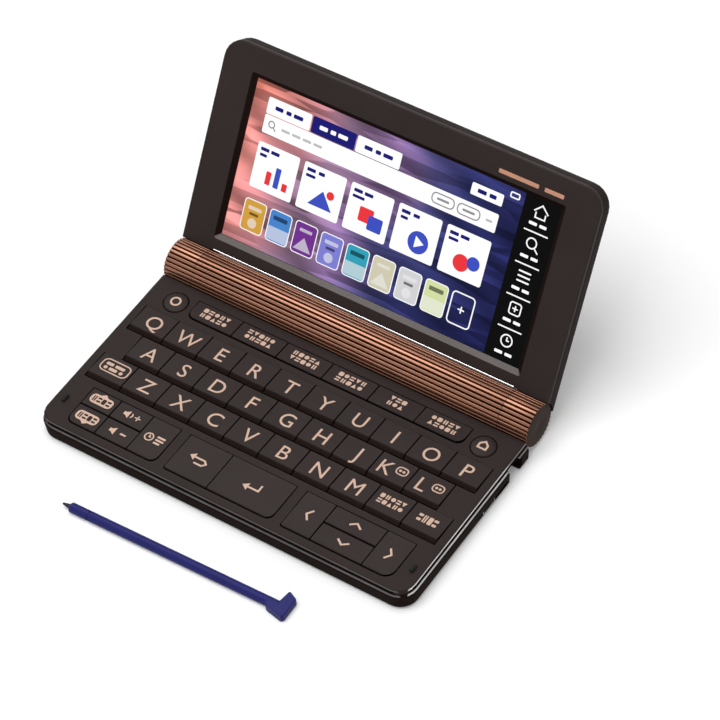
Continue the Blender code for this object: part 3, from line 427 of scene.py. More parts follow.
def surfaceMaterial(name, look):
    # moulded plastic, or metal, whose grain may be stretched along X as brushing does
    tree, shader = newMaterial(name)
    where = objectPlace(tree)
    along = where
    if "stretch" in look:
        along = addNode(tree, "ShaderNodeMapping", {"Vector": where, "Scale": look["stretch"]}
                        ).outputs["Vector"]
    grain = grainOf(tree, along, look)
    wear = useGroup(tree, wearGroup, Vector=where, Radius=look["wearRadius"],
                    Amount=look["wear"], Break_Up=look["breakUp"])
    colour = blendColours(tree, wear["Mask"], shadedBy(tree, look["colour"], grain["Shade"]),
                          look["wornColour"])
    if "rimLevel" in look:
        # painted highlight lines on the case edges
        colour = blendColours(tree, rimHighlightMask(tree, where, look), colour, look["rimColour"])
    if "grooveColour" in look:
        # painted shade: the rib grooves are darkened
        colour = blendColours(tree, grooveShadeMask(tree, where, look), colour, look["grooveColour"])
    smoothest, roughest = (look["roughness"] + change for change in look["roughChange"])
    bump = addNode(tree, "ShaderNodeBump", {"Distance": look["grainDepth"],
                                            "Height": grain["Height"]})
    feedAll(tree, shader, {
        "Base Color": colour, "Metallic": look["metallic"], "Normal": bump.outputs["Normal"],
        "Roughness": remap(tree, grain["Height"], *noiseSpan, smoothest, roughest),
        "Specular IOR Level": look["specular"]})


bodyLook = {
    # the moulded plastic that the other plastics start from
    "colour": (0.0200, 0.0134, 0.0122), "wornColour": (0.060, 0.046, 0.042),
    "grainScale": 2600.0, "patchScale": 45.0, "contrast": 0.14, "grainDepth": 0.00003,
    "wearRadius": 0.00022, "wear": 0.55, "breakUp": 420.0,
    "roughness": 0.50, "roughChange": (-0.07, 0.07), "specular": 0.08, "metallic": 0.0,
}
# painted highlight lines along the case edges: their colour, and where and how strongly they show
rimHighlightLook = {
    "rimColour": (0.80, 0.78, 0.77), "rimSide": 0.0766, "rimFront": -0.0454, "rimSoft": 0.0003,
    "rimEnd": 0.0160, "rearSoft": 0.004, "rearShine": 0.30, "rimPatch": 90.0,
    "rimPatches": (0.3, 0.6), "rimFaint": 0.65,
    "rimLevel": 0.00838, "rimWidth": 0.00042, "rimShares": (0.35, 0.6), "sideShine": 0.85,
    "frontShine": 0.12,
}
# painted light: the body's plastic made lighter for the lid, standing in for the light on its
# front face
lidLook = dict(bodyLook, colour=(0.0268, 0.0190, 0.0174))
coverLook = dict(bodyLook, colour=(0.0120, 0.0068, 0.0054), wornColour=(0.034, 0.023, 0.020),
                 specular=0.008)
metalLook = {
    "colour": (0.262, 0.124, 0.080), "wornColour": (0.50, 0.29, 0.20),
    "stretch": (0.05, 1.0, 1.0), "grainScale": 5200.0, "patchScale": 150.0, "contrast": 0.10,
    "grainDepth": 0.000004, "wearRadius": 0.00020, "wear": 0.5, "breakUp": 600.0,
    "roughness": 0.30, "roughChange": (-0.05, 0.06), "specular": 0.5, "metallic": 1.0,
}
steelLook = dict(metalLook, colour=(0.52, 0.51, 0.50), wornColour=(0.80, 0.80, 0.80),
                 stretch=(1.0, 1.0, 1.0), contrast=0.06, roughness=0.28)
surfaceLooks = {
    "lid plastic": lidLook,
    "back shell plastic": dict(lidLook, colour=(0.0215, 0.0150, 0.0138),
                               wornColour=(0.050, 0.038, 0.035), specular=0.02),
    "deck plastic": dict(bodyLook, **rimHighlightLook),
    "tray plastic": dict(coverLook, **dict(rimHighlightLook, rimLevel=0.00640, rimWidth=0.00075,
                                           frontShine=0.17)),
    "cover plastic": coverLook,
    # painted shade: a near-black for the deck's outer lip wall and the key caps' side walls
    "lip shade plastic": dict(coverLook, colour=(0.0040, 0.0028, 0.0025),
                              wornColour=(0.008, 0.006, 0.005)),
    "key plastic": dict(bodyLook, colour=(0.0212, 0.0142, 0.0132), roughness=0.46,
                        wornColour=(0.060, 0.048, 0.046), grainScale=3400.0, specular=0.10,
                        wearRadius=0.00016, wear=0.45),
    "rubber pad": dict(bodyLook, colour=(0.010, 0.010, 0.010), wornColour=(0.02, 0.02, 0.02),
                       roughness=0.80, specular=0.2, grainScale=1800.0),
    "pen plastic": dict(bodyLook, colour=(0.020, 0.021, 0.124), wornColour=(0.06, 0.06, 0.24),
                        roughness=0.36, specular=0.06, grainScale=1500.0, grainDepth=0.00001,
                        wear=0.35),
    "nib plastic": dict(bodyLook, colour=(0.030, 0.030, 0.034), wornColour=(0.08, 0.08, 0.08),
                        roughness=0.4),
    "board laminate": dict(bodyLook, colour=(0.010, 0.070, 0.030), roughness=0.35,
                           wornColour=(0.03, 0.12, 0.06), specular=0.5),
    "cell sleeve": dict(bodyLook, colour=(0.080, 0.085, 0.090), wornColour=(0.15, 0.15, 0.15),
                        roughness=0.25, specular=0.5, grainDepth=0.000005),
    "barrel end paint": dict(bodyLook, colour=(0.030, 0.0165, 0.0105),
                             wornColour=(0.10, 0.060, 0.045), specular=0.05),
    "satin band": dict(bodyLook, colour=(0.105, 0.092, 0.088), wornColour=(0.24, 0.22, 0.21),
                       wear=0.3, specular=0.2),
    "ribbed copper": dict(metalLook, grooveColour=(0.022, 0.008, 0.005), grooveTop=0.00816,
                          grooveFoot=0.00796),
    "bright steel": steelLook,
    "dark screw steel": dict(steelLook, colour=(0.13, 0.125, 0.12),
                             wornColour=(0.30, 0.29, 0.28)),
    "bright trim": dict(metalLook, colour=(0.93, 0.92, 0.91), wornColour=(0.97, 0.97, 0.97),
                        contrast=0.05, roughness=0.20),
}

print("materials")
for name, look in surfaceLooks.items():
    surfaceMaterial(name, look)


# print, glass and the lit picture

printLook = {"grainScale": 6000.0, "patchScale": 300.0, "contrast": 0.08,
             "roughness": (0.38, 0.55), "specular": 0.35,
             "inks": {"legend print": (0.56, 0.375, 0.280), "accent print": (0.50, 0.24, 0.155)}}
glassLook = {"colour": (0.0040, 0.0040, 0.0046), "grainScale": 900.0, "patchScale": 30.0,
             "contrast": 0.1, "markScale": 35.0, "clean": 0.05, "marked": 0.14, "specular": 0.25}
pictureLook = {"markScale": 35.0, "clean": 0.07, "marked": 0.16, "specular": 0.04,
               "unlitShade": (0.05, 0.05, 0.05)}
wallpaperLook = {
    "lean": 0.15, "bendScale": 2.2, "bend": (-0.06, 0.08),
    "stops": ((0.00, (0.50, 0.150, 0.110)), (0.12, (0.66, 0.235, 0.215)),
              (0.22, (0.44, 0.180, 0.205)), (0.32, (0.27, 0.160, 0.250)),
              (0.50, (0.22, 0.130, 0.290)), (0.62, (0.060, 0.055, 0.165)),
              (0.74, (0.024, 0.028, 0.120)), (1.00, (0.013, 0.015, 0.085))),
    "facetTurn": math.radians(32), "facetStretch": (2.6, 11.0, 1.0), "facetScale": 1.7,
    "facetBlur": 0.12, "facetSpan": (0.1, 0.9), "facetLight": (0.55, 1.45),
    "foldScale": 2.3, "foldDistortion": 3.0, "foldDetail": 2.5, "foldLight": (0.65, 1.25),
}


def printMaterial(name, colour):
    # copper ink: its colour changes slowly, and it is a little rough
    tree, shader = newMaterial(name)
    grain = grainOf(tree, objectPlace(tree), printLook)
    feedAll(tree, shader, {
        "Base Color": shadedBy(tree, colour, grain["Shade"]),
        "Roughness": remap(tree, grain["Height"], *noiseSpan, *printLook["roughness"]),
        "Specular IOR Level": printLook["specular"]})


def glassMaterial():
    tree, shader = newMaterial("screen glass")
    where = objectPlace(tree)
    shade = grainOf(tree, where, glassLook)["Shade"]
    feedAll(tree, shader, {"Base Color": shadedBy(tree, glassLook["colour"], shade),
                           "Roughness": marksOf(tree, where, glassLook),
                           "Specular IOR Level": glassLook["specular"]})


def litMaterial(name, pictureColour):
    # a picture that glows, with a faint gloss above
    tree, shader = newMaterial(name)
    picture = pictureColour(tree)
    feedAll(tree, shader, {
        "Emission Color": picture, "Emission Strength": 1.0,
        "Base Color": shadedBy(tree, picture, pictureLook["unlitShade"]),
        "Roughness": marksOf(tree, objectPlace(tree), pictureLook),
        "Specular IOR Level": pictureLook["specular"]})


def drawnColour(tree):
    return addNode(tree, "ShaderNodeVertexColor", layer_name="tint").outputs["Color"]


def wallpaperColour(tree):
    # a plain abstract ground: coral at the left through plum to navy, in soft slanting facets
    look = wallpaperLook
    uv = addNode(tree, "ShaderNodeUVMap", uv_map="picture").outputs["UV"]
    at = partsOf(tree, uv)
    slope = calc(tree, "ADD", at["X"], remap(tree, at["Y"], 0.0, 1.0, look["lean"], 0.0))
    bend = remap(tree, noise(tree, uv, look["bendScale"]), *noiseSpan, *look["bend"])
    ramp = addNode(tree, "ShaderNodeValToRGB", {"Fac": calc(tree, "ADD", slope, bend)})
    elements = ramp.color_ramp.elements
    while len(elements) < len(look["stops"]):
        elements.new(0.5)
    for element, (position, colour) in zip(elements, look["stops"]):
        element.position = position
        element.color = (*colour, 1.0)
    slant = addNode(tree, "ShaderNodeMapping", {
        "Vector": uv, "Rotation": (0.0, 0.0, look["facetTurn"]), "Scale": look["facetStretch"]})
    facets = addNode(tree, "ShaderNodeTexVoronoi", {
        "Vector": slant.outputs["Vector"], "Scale": look["facetScale"],
        "Smoothness": look["facetBlur"]}, feature="SMOOTH_F1")
    shades = addNode(tree, "ShaderNodeSeparateColor", {"Color": facets.outputs["Color"]})
    folds = addNode(tree, "ShaderNodeTexWave", {
        "Vector": uv, "Scale": look["foldScale"], "Distortion": look["foldDistortion"],
        "Detail": look["foldDetail"]}, bands_direction="DIAGONAL")
    light = product(tree, remap(tree, folds.outputs["Fac"], 0.0, 1.0, *look["foldLight"]),
                    remap(tree, shades.outputs[0], *look["facetSpan"], *look["facetLight"]))
    return shadedBy(tree, ramp.outputs["Color"], light)


for name, ink in printLook["inks"].items():
    printMaterial(name, ink)
glassMaterial()
litMaterial("screen drawing", drawnColour)
litMaterial("screen wallpaper", wallpaperColour)


# moulded pieces: the CAD solids with merged faces and rounded edges

edgeForm = {
    # the three angles are in degrees
    "flatWithin": 0.5, "sharpFrom": 30, "smoothUpTo": 180, "segments": 2, "weight": 90,
}


def cleanCopy(node):
    bm = bmesh.new()
    bm.from_mesh(nodes[node].data)
    bmesh.ops.remove_doubles(bm, verts=bm.verts, dist=mergeDistance)
    bmesh.ops.dissolve_limit(bm, angle_limit=math.radians(edgeForm["flatWithin"]),
                             verts=bm.verts, edges=bm.edges)
    return bm


def roundedCopy(node, name, edge):
    piece = linkObject(name, meshFrom(cleanCopy(node), name))
    bevel = piece.modifiers.new("rounded edges", "BEVEL")
    bevel.width = edge
    bevel.segments = edgeForm["segments"]
    bevel.limit_method = "ANGLE"
    bevel.angle_limit = math.radians(edgeForm["sharpFrom"])
    bevel.miter_outer = "MITER_ARC"
    smoothEdges(piece.data, edgeForm["smoothUpTo"])
    weight = piece.modifiers.new("flat faces", "WEIGHTED_NORMAL")
    weight.weight = edgeForm["weight"]
    return bakeModifiers(piece)


def dressNode(node, name, edge, slot, finish):
    # a rounded copy that stands for the CAD node and rides where it rides
    piece = roundedCopy(node, name, edge)
    return finishPiece(piece, nodes[node]["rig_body"], finish, [node])


mouldedPieces = (
    # CAD node, piece name, edge radius, slot, finish
    ("base_top_case", "deck_shell", 0.00022, "body_plastic", "deck plastic"),
    ("base_bottom_case", "bottom_shell", 0.00022, "body_plastic", "tray plastic"),
    ("battery_cover", "cell_cover", 0.00025, "body_plastic", "cover plastic"),
    ("display_rear_cover", "lid_back_shell", 0.00030, "body_plastic", "back shell plastic"),
    ("display_bezel", "lid_front_frame", 0.00030, "body_plastic", "lid plastic"),
    ("display_panel", "screen_module", 0.00015, "screen", "screen glass"),
)
footLevel = -0.00008      # the feet stand below this
bumperLook = {"level": 0.00890, "front": -0.030, "side": 0.072}    # the deck's two bumpers
# painted shade: the deck's outer lip wall is darkened for the groove under its edge
lipPaintedShade = {"top": 0.00825, "foot": 0.0070, "side": 0.0772, "front": -0.0460}    # its outer lip


def isBumper(face):
    x, y, z = face.center
    return z > bumperLook["level"] and y < bumperLook["front"] and abs(x) > bumperLook["side"]


def isOuterLip(face):
    x, y, z = face.center
    return lipPaintedShade["foot"] < z < lipPaintedShade["top"] and (abs(x) > lipPaintedShade["side"]
                                                       or y < lipPaintedShade["front"])


print("moulded pieces")
moulded = {row[0]: dressNode(*row) for row in mouldedPieces}
refinish(moulded["base_bottom_case"], "rubber pad", lambda face: face.center.z < footLevel)
refinish(moulded["base_top_case"], "rubber pad", isBumper)
# painted shade on the deck's outer lip wall
refinish(moulded["base_top_case"], "lip shade plastic", isOuterLip)

# painted shade: the low lip in front of a letter key, and every side wall, are darker than the key
# tops
capLook = {"edge": 0.00010, "lipLevel": 0.00874, "steep": 0.35}
keyNodes = sorted(name for name in nodes if name.startswith("key_") and name != "key_board")
for node in keyNodes:
    cap = dressNode(node, node.replace("key_", "cap_"), capLook["edge"], "key_plastic",
                    "key plastic")
    refinish(cap, "cover plastic", lambda face: face.center.z < capLook["lipLevel"])
    refinish(cap, "lip shade plastic", lambda face: face.normal.z < capLook["steep"])

stylusLook = {"edge": 0.00012, "nibEnd": -0.0470}
pen = dressNode("stylus", "pen", stylusLook["edge"], "pen_plastic", "pen plastic")
refinish(pen, "nib plastic", lambda face: face.center.x < stylusLook["nibEnd"])

innerEdge = 0.00008
dressNode("key_board", "contact_board", innerEdge, "board", "board laminate")
dressNode("battery_pair", "cells", innerEdge, "cell_sleeve", "cell sleeve")


# geometry trees

def newTree(name, inputs):
    tree, given, result = newGroup("GeometryNodeTree", name, inputs,
                                   {"Geometry": "NodeSocketGeometry"})
    return tree, given, result["Geometry"]


def growPiece(name, tree, values, places=()):
    # runs a tree with these values on marked places, and keeps the result as a plain closed mesh
    marked = bpy.data.meshes.new(name)
    marked.from_pydata([Vector(place) for place in places], [], [])
    piece = linkObject(name, marked)
    growth = piece.modifiers.new("growth", "NODES")
    growth.node_group = tree
    for item in tree.interface.items_tree:
        if item.item_type == "SOCKET" and item.in_out == "INPUT" and item.name in values:
            growth[item.identifier] = values[item.name]
    bakeModifiers(piece)
    bm = bmesh.new()
    bm.from_mesh(piece.data)
    bmesh.ops.remove_doubles(bm, verts=bm.verts, dist=mergeDistance)
    bmesh.ops.recalc_face_normals(bm, faces=bm.faces[:])
    bm.to_mesh(piece.data)
    bm.free()
    smoothEdges(piece.data)
    return piece


def finishTree(tree, geometry, finish, result):
    # makes instances real and gives them their finish
    real = addNode(tree, "GeometryNodeRealizeInstances", {"Geometry": geometry})
    coated = addNode(tree, "GeometryNodeSetMaterial",
                     {"Geometry": real.outputs["Geometry"], "Material": finish})
    tree.links.new(coated.outputs["Geometry"], result)
    return tree


def moved(tree, geometry, **change):
    return addNode(tree, "GeometryNodeTransform", {"Geometry": geometry, **change}
                   ).outputs["Geometry"]


def buildRibbedTree():
    # a tube round the hinge axis, swept from a wall section, with ribs cut into its outside
    tree, given, result = newTree("ribbedTube", {
        "From": 0.0, "To": 0.01, "Radius": 0.008, "Bore": 0.0, "Fillet": 0.0001, "Ribs": 30,
        "Rib Depth": 0.0, "Crest": 0.2, "Phase": 0.0, "Start": 0.0, "Sweep": math.tau,
        "Steps": 600, "Axis": (0.0, 0.0, 0.0), "Finish": "NodeSocketMaterial"})
    wall = calc(tree, "SUBTRACT", given["Radius"], given["Bore"])
    section = addNode(tree, "GeometryNodeCurvePrimitiveQuadrilateral", {
        "Width": wall, "Height": calc(tree, "SUBTRACT", given["To"], given["From"])})
    rounded = addNode(tree, "GeometryNodeFilletCurve", {
        "Curve": section.outputs["Curve"], "Count": 3, "Radius": given["Fillet"]}, mode="POLY")
    middle = calc(tree, "ADD", given["Bore"], product(tree, wall, 0.5))
    ring = addNode(tree, "GeometryNodeCurvePrimitiveCircle",
                   {"Resolution": given["Steps"], "Radius": middle})
    arc = addNode(tree, "GeometryNodeCurveArc", {
        "Resolution": given["Steps"], "Radius": middle, "Start Angle": given["Start"],
        "Sweep Angle": given["Sweep"]})
    whole = addNode(tree, "FunctionNodeCompare", {0: given["Sweep"], 1: math.tau - 0.001},
                    data_type="FLOAT", operation="GREATER_THAN")
    path = addNode(tree, "GeometryNodeSwitch", {
        "Switch": whole.outputs[0], "False": arc.outputs["Curve"],
        "True": ring.outputs["Curve"]}, input_type="GEOMETRY")
    tube = addNode(tree, "GeometryNodeCurveToMesh", {
        "Curve": path.outputs["Output"], "Profile Curve": rounded.outputs["Curve"],
        "Fill Caps": True})
    # rib height from the angle round the axis
    at = partsOf(tree, addNode(tree, "GeometryNodeInputPosition").outputs["Position"])
    angle = calc(tree, "ARCTAN2", at["Y"], at["X"])
    reach = calc(tree, "SQRT", calc(tree, "ADD", product(tree, at["X"], at["X"]),
                                    product(tree, at["Y"], at["Y"])))
    turns = calc(tree, "DIVIDE", calc(tree, "SUBTRACT", angle, given["Phase"]), math.tau)
    place = calc(tree, "WRAP", product(tree, turns, given["Ribs"]), 0.5, -0.5)
    drop = remap(tree, calc(tree, "ABSOLUTE", place), given["Crest"], 0.5, 0.0, 1.0, "SMOOTHSTEP")
    outside = remap(tree, reach, given["Bore"], given["Radius"], 0.0, 1.0)
    ribbed = calc(tree, "SUBTRACT", reach, product(tree, drop, outside, given["Rib Depth"]))
    along = calc(tree, "ADD", at["Z"],
                 product(tree, calc(tree, "ADD", given["From"], given["To"]), 0.5))
    ringed = joined(tree, along, product(tree, ribbed, calc(tree, "COSINE", angle)),
                    product(tree, ribbed, calc(tree, "SINE", angle)))
    turned = addNode(tree, "GeometryNodeSetPosition", {
        "Geometry": tube.outputs["Mesh"],
        "Position": vectorCalc(tree, "ADD", ringed, given["Axis"])})
    return finishTree(tree, turned.outputs["Geometry"], given["Finish"], result)


def scatter(tree, given, instance, result):
    spread = addNode(tree, "GeometryNodeInstanceOnPoints",
                     {"Points": given["Places"], "Instance": instance})
    return finishTree(tree, spread.outputs["Instances"], given["Finish"], result)


def buildScrewTree():
    # a low cross-head screw that looks down, at each place on the underside
    tree, given, result = newTree("crossHeadScrews", {
        "Places": "NodeSocketGeometry", "Foot Radius": 0.0016, "Face Radius": 0.0013,
        "Height": 0.0003, "Sink": 0.0, "Slot Length": 0.0016, "Slot Width": 0.0004,
        "Slot Depth": 0.0001, "Finish": "NodeSocketMaterial"})
    head = addNode(tree, "GeometryNodeMeshCone", {
        "Vertices": 32, "Radius Top": given["Foot Radius"], "Radius Bottom": given["Face Radius"],
        "Depth": given["Height"]})
    face = joined(tree, 0.0, 0.0, calc(tree, "SUBTRACT", given["Sink"], given["Height"]))
    deep = product(tree, given["Slot Depth"], 2.0)
    cut = addNode(tree, "GeometryNodeMeshBoolean",
                  {"Mesh 1": moved(tree, head.outputs["Mesh"], Translation=face)},
                  operation="DIFFERENCE", solver="EXACT")
    long, narrow = given["Slot Length"], given["Slot Width"]
    for wide, high in ((long, narrow), (narrow, long)):
        slot = addNode(tree, "GeometryNodeMeshCube", {"Size": joined(tree, wide, high, deep)})
        feed(tree, cut.inputs["Mesh 2"], moved(tree, slot.outputs["Mesh"], Translation=face))
    return scatter(tree, given, cut.outputs["Mesh"], result)


def buildBarTree():
    # a low rounded bar that looks down, at each place
    tree, given, result = newTree("thumbBars", {
        "Places": "NodeSocketGeometry", "Length": 0.016, "Width": 0.0007, "Height": 0.0003,
        "Sink": 0.0, "Finish": "NodeSocketMaterial"})
    outline = addNode(tree, "GeometryNodeCurvePrimitiveQuadrilateral",
                      {"Width": given["Length"], "Height": given["Width"]})
    rounded = addNode(tree, "GeometryNodeFilletCurve", {
        "Count": 4, "Curve": outline.outputs["Curve"],
        "Radius": product(tree, given["Width"], 0.49)}, mode="POLY")
    face = addNode(tree, "GeometryNodeFillCurve", {"Curve": rounded.outputs["Curve"]},
                   mode="NGONS")
    sunk = moved(tree, face.outputs["Mesh"], Translation=joined(tree, 0.0, 0.0, given["Sink"]))
    drop = addNode(tree, "GeometryNodeExtrudeMesh", {
        "Mesh": sunk, "Offset": joined(tree, 0.0, 0.0, -1.0), "Offset Scale": given["Height"],
        "Individual": False}, mode="FACES")
    both = addNode(tree, "GeometryNodeJoinGeometry")
    for part in (drop.outputs["Mesh"], sunk):
        feed(tree, both.inputs["Geometry"], part)
    return scatter(tree, given, both.outputs["Geometry"], result)


def buildSpringTree():
    # a conical contact spring from each place, wound along X
    tree, given, result = newTree("contactSprings", {
        "Places": "NodeSocketGeometry", "Turns": 2.5, "Foot Radius": 0.0034,
        "Tip Radius": 0.0018, "Reach": 0.0006, "Wire": 0.0002,
        "Heading": (0.0, math.pi / 2, 0.0), "Finish": "NodeSocketMaterial"})
    coil = addNode(tree, "GeometryNodeCurveSpiral", {
        "Resolution": 24, "Rotations": given["Turns"], "Start Radius": given["Foot Radius"],
        "End Radius": given["Tip Radius"], "Height": given["Reach"]})
    wire = addNode(tree, "GeometryNodeCurvePrimitiveCircle",
                   {"Resolution": 8, "Radius": given["Wire"]})
    solid = addNode(tree, "GeometryNodeCurveToMesh", {
        "Curve": coil.outputs["Curve"], "Profile Curve": wire.outputs["Curve"],
        "Fill Caps": True})
    return scatter(tree, given, moved(tree, solid.outputs["Mesh"], Rotation=given["Heading"]),
                   result)


# hinge barrel

ribLook = {
    "count": 30, "depth": 0.00045, "crest": 0.20, "phase": math.radians(2), "stepsPerRib": 20,
    "radius": 0.0082, "wall": 0.0008, "pinRadius": 0.0030, "pinBore": 0.0031,
    "fixedHalf": 0.06518, "bayHalf": 0.05145, "knuckleStart": 0.06521, "knuckleEnd": 0.07745,
    "pinStart": 0.05515, "pinRoot": 0.001, "openStart": math.radians(-10),
    "openSweep": math.radians(200), "fillet": 0.00001, "endFillet": 0.00022,
    "endRim": 0.00015, "endTilt": 0.7,
    "blockSides": 96, "pinSides": 48,
}


def growTube(name, start, end, **values):
    steps = ribLook["count"] * ribLook["stepsPerRib"]
    sweep = values.get("Sweep", math.tau)
    given = {"From": min(start, end), "To": max(start, end), "Radius": ribLook["radius"],
             "Fillet": ribLook["fillet"], "Ribs": ribLook["count"], "Rib Depth": ribLook["depth"],
             "Crest": ribLook["crest"], "Phase": ribLook["phase"], "Axis": tuple(axisPoint),
             "Finish": finishes["ribbed copper"], "Steps": int(steps * sweep / math.tau) + 1}
    given.update({key.replace("_", " "): value for key, value in values.items()})
    return growPiece(name, ribbedTree, given)


def makeBarrel():
    inner = ribLook["radius"] - ribLook["wall"]
    openStart, openSweep = ribLook["openStart"], ribLook["openSweep"]
    shell = growTube("barrel_shell", -ribLook["fixedHalf"], ribLook["fixedHalf"], Bore=inner,
                     Start=openStart, Sweep=openSweep)
    finishPiece(shell, "base", replaced=["hinge_barrel"])
    for side, label in ((-1, "left"), (1, "right")):
        bay, fixed = side * ribLook["bayHalf"], side * ribLook["fixedHalf"]
        under = growTube("barrel_under_" + label, bay, fixed, Bore=inner,
                         Start=openStart + openSweep, Sweep=math.tau - openSweep)
        block = growTube("barrel_block_" + label, bay, fixed, Radius=inner,
                         Bore=ribLook["pinBore"], Steps=ribLook["blockSides"], Rib_Depth=0.0)
        for piece in (under, block):
            finishPiece(piece, "base")
        knuckle = growTube("barrel_end_" + label, side * ribLook["knuckleStart"],
                           side * ribLook["knuckleEnd"], Bore=0.0, Fillet=ribLook["endFillet"])
        finishPiece(knuckle, "lid", replaced=["hinge_knuckle_" + label])
        capEdge = ribLook["radius"] - ribLook["depth"] - ribLook["endRim"]
        refinish(knuckle, "barrel end paint", lambda face: (
            side * face.normal.x > ribLook["endTilt"]
            and (face.center.yz - axisPoint.yz).length < capEdge))
        pin = growTube("hinge_pin_" + label, side * ribLook["pinStart"],
                       side * (ribLook["knuckleStart"] + ribLook["pinRoot"]),
                       Radius=ribLook["pinRadius"], Bore=0.0, Steps=ribLook["pinSides"],
                       Finish=finishes["bright steel"], Rib_Depth=0.0)
        finishPiece(pin, "lid")


print("hinge barrel")
ribbedTree = buildRibbedTree()
makeBarrel()


# small parts: screws, thumb bars, contacts and the port

screwLook = {
    "places": ((0.070, -0.022, 0.0), (-0.070, -0.022, 0.0), (0.066, 0.013, 0.0),
               (-0.066, 0.016, 0.0), (0.024, -0.041, 0.0), (-0.024, -0.041, 0.0)),
    "head": {"Height": 0.00030, "Sink": 0.00006, "Slot Depth": 0.00013},
}
thumbLook = {
    "count": 7, "pitch": 0.0013, "firstY": 0.0300,
    "bar": {"Length": 0.017, "Width": 0.0006, "Height": 0.00030, "Sink": 0.00006},
}
contactLook = {
    "bayEnd": 0.05142, "plateHalf": 0.0044, "plateThickness": 0.0003, "corner": 0.0008,
    "spring": {"Reach": 0.00040, "Wire": 0.00018},
}
portLook = {
    "outline": (0.0010, 0.0084, 0.00072, 0.00248), "corner": 0.0005, "wall": 0.00022,
    "back": 0.0768, "front": 0.07795, "tongue": (0.0024, 0.0070, 0.00145, 0.00175),
    "tongueCorner": 0.0001, "tongueFront": 0.0775,
}


def makeScrewsAndBars():
    screws = growPiece("case_screws", buildScrewTree(),
                       dict(screwLook["head"], Finish=finishes["dark screw steel"]),
                       screwLook["places"])
    finishPiece(screws, "base")
    rows = [(0.0, thumbLook["firstY"] + i * thumbLook["pitch"], 0.0)
            for i in range(thumbLook["count"])]
    bars = growPiece("cover_thumb_bars", buildBarTree(),
                     dict(thumbLook["bar"], Finish=finishes["cover plastic"]), rows)
    finishPiece(bars, "battery_cover")


def makeContacts():
    springTree = buildSpringTree()
    half, thickness = contactLook["plateHalf"], contactLook["plateThickness"]
    for side, label in ((-1, "left"), (1, "right")):
        foot = side * (contactLook["bayEnd"] - thickness - contactLook["spring"]["Wire"])
        coil = dict(contactLook["spring"], Heading=(0.0, -side * math.pi / 2, 0.0),
                    Finish=finishes["bright steel"])
        spring = growPiece("contact_spring_" + label, springTree, coil,
                           [(foot, axisPoint.y, axisPoint.z)])
        finishPiece(spring, "base")
        bm = bmesh.new()
        slab(bm, roundedBox(-half, half, -half, half, contactLook["corner"]), 0.0, thickness)
        facing = Matrix(((0, 0, -side), (1, 0, 0), (0, 1, 0))).to_4x4()
        bayEnd = Vector((side * contactLook["bayEnd"], axisPoint.y, axisPoint.z))
        plate = solidPiece(bm, "contact_plate_" + label, Matrix.Translation(bayEnd) @ facing)
        finishPiece(plate, "base", "bright steel")


def makePort():
    left, right, low, high = portLook["outline"]
    wall, corner = portLook["wall"], portLook["corner"]
    bm = bmesh.new()
    ringSlab(bm, roundedBox(left, right, low, high, corner),
             roundedBox(left + wall, right - wall, low + wall, high - wall, corner - wall),
             portLook["back"], portLook["front"])
    finishPiece(solidPiece(bm, "port_shell", sideways), "base", "bright steel")
    bm = bmesh.new()
    slab(bm, roundedBox(*portLook["tongue"], portLook["tongueCorner"]), portLook["back"],
         portLook["tongueFront"])
    finishPiece(solidPiece(bm, "port_tongue", sideways), "base", "nib plastic")


print("small parts")
makeScrewsAndBars()
makeContacts()
makePort()


# drawing in millimetres: a shape is its kind, then its place and sizes

drawForm = {
    # a capital's height as a share of the font's size, and how finely curves are drawn
    "capShare": 0.73, "letterSteps": 4, "cornerShare": 0.3, "cornerSteps": 4, "circleSides": 20,
}


def tidyPoints(points, closed=True):
    kept = [points[0]]
    for point in points[1:]:
        if (Vector(point) - Vector(kept[-1])).length > mergeDistance:
            kept.append(point)
    if closed and (Vector(kept[0]) - Vector(kept[-1])).length < mergeDistance:
        kept.pop()
    return kept


def letterFaces(bm, x, y, size, text, height):
    curve = bpy.data.curves.new("lettering", "FONT")
    curve.body = text
    curve.size = size / drawForm["capShare"]
    curve.resolution_u = drawForm["letterSteps"]
    holder = linkObject("lettering", curve)
    bpy.context.view_layer.update()
    mesh = bpy.data.meshes.new_from_object(holder.evaluated_get(
        bpy.context.evaluated_depsgraph_get()))
    middle = (min(v.co.x for v in mesh.vertices) + max(v.co.x for v in mesh.vertices)) / 2
    mesh.transform(Matrix.Translation((x - middle, y - size / 2, height)))
    known = set(bm.faces)
    bm.from_mesh(mesh)
    faces = [face for face in bm.faces if face not in known]
    corners = list({v for f in faces for v in f.verts})
    bmesh.ops.remove_doubles(bm, verts=corners, dist=mergeDistance)
    bpy.data.objects.remove(holder)
    bpy.data.curves.remove(curve)
    bpy.data.meshes.remove(mesh)
    return [face for face in faces if face.is_valid]


def drawShape(bm, shape, pen, height=0.0, tint=None):
    kind, *values = shape
    if kind in ("line", "loop", "patch"):
        points = tidyPoints([(x / 1000, y / 1000) for x, y in values[0]], kind != "line")
    else:
        values = [v / 1000 if isinstance(v, (int, float)) else v for v in values]
    if kind in ("bar", "box"):
        x, y, wide, high = values[:4]
        corner = values[4] if len(values) > 4 else min(wide, high) * drawForm["cornerShare"]
        points = tidyPoints(roundedBox(x - wide / 2, x + wide / 2, y - high / 2, y + high / 2,
                                       corner, drawForm["cornerSteps"]))
    elif kind in ("dot", "ring"):
        points = circlePoints(*values, drawForm["circleSides"])
    if kind == "letter":
        faces = letterFaces(bm, *values, height)
    elif kind in ("bar", "dot", "patch"):
        faces = [fillShape(bm, points, height)]
    else:
        faces = strokeShape(bm, points, pen / 1000, kind != "line", height)
    paint(bm, faces, tint)
    return faces


def plusSign(x, y, reach):
    return [("line", [(x - reach, y), (x + reach, y)]), ("line", [(x, y - reach), (x, y + reach)])]


# printed key marks, measured from the middle of a key's top

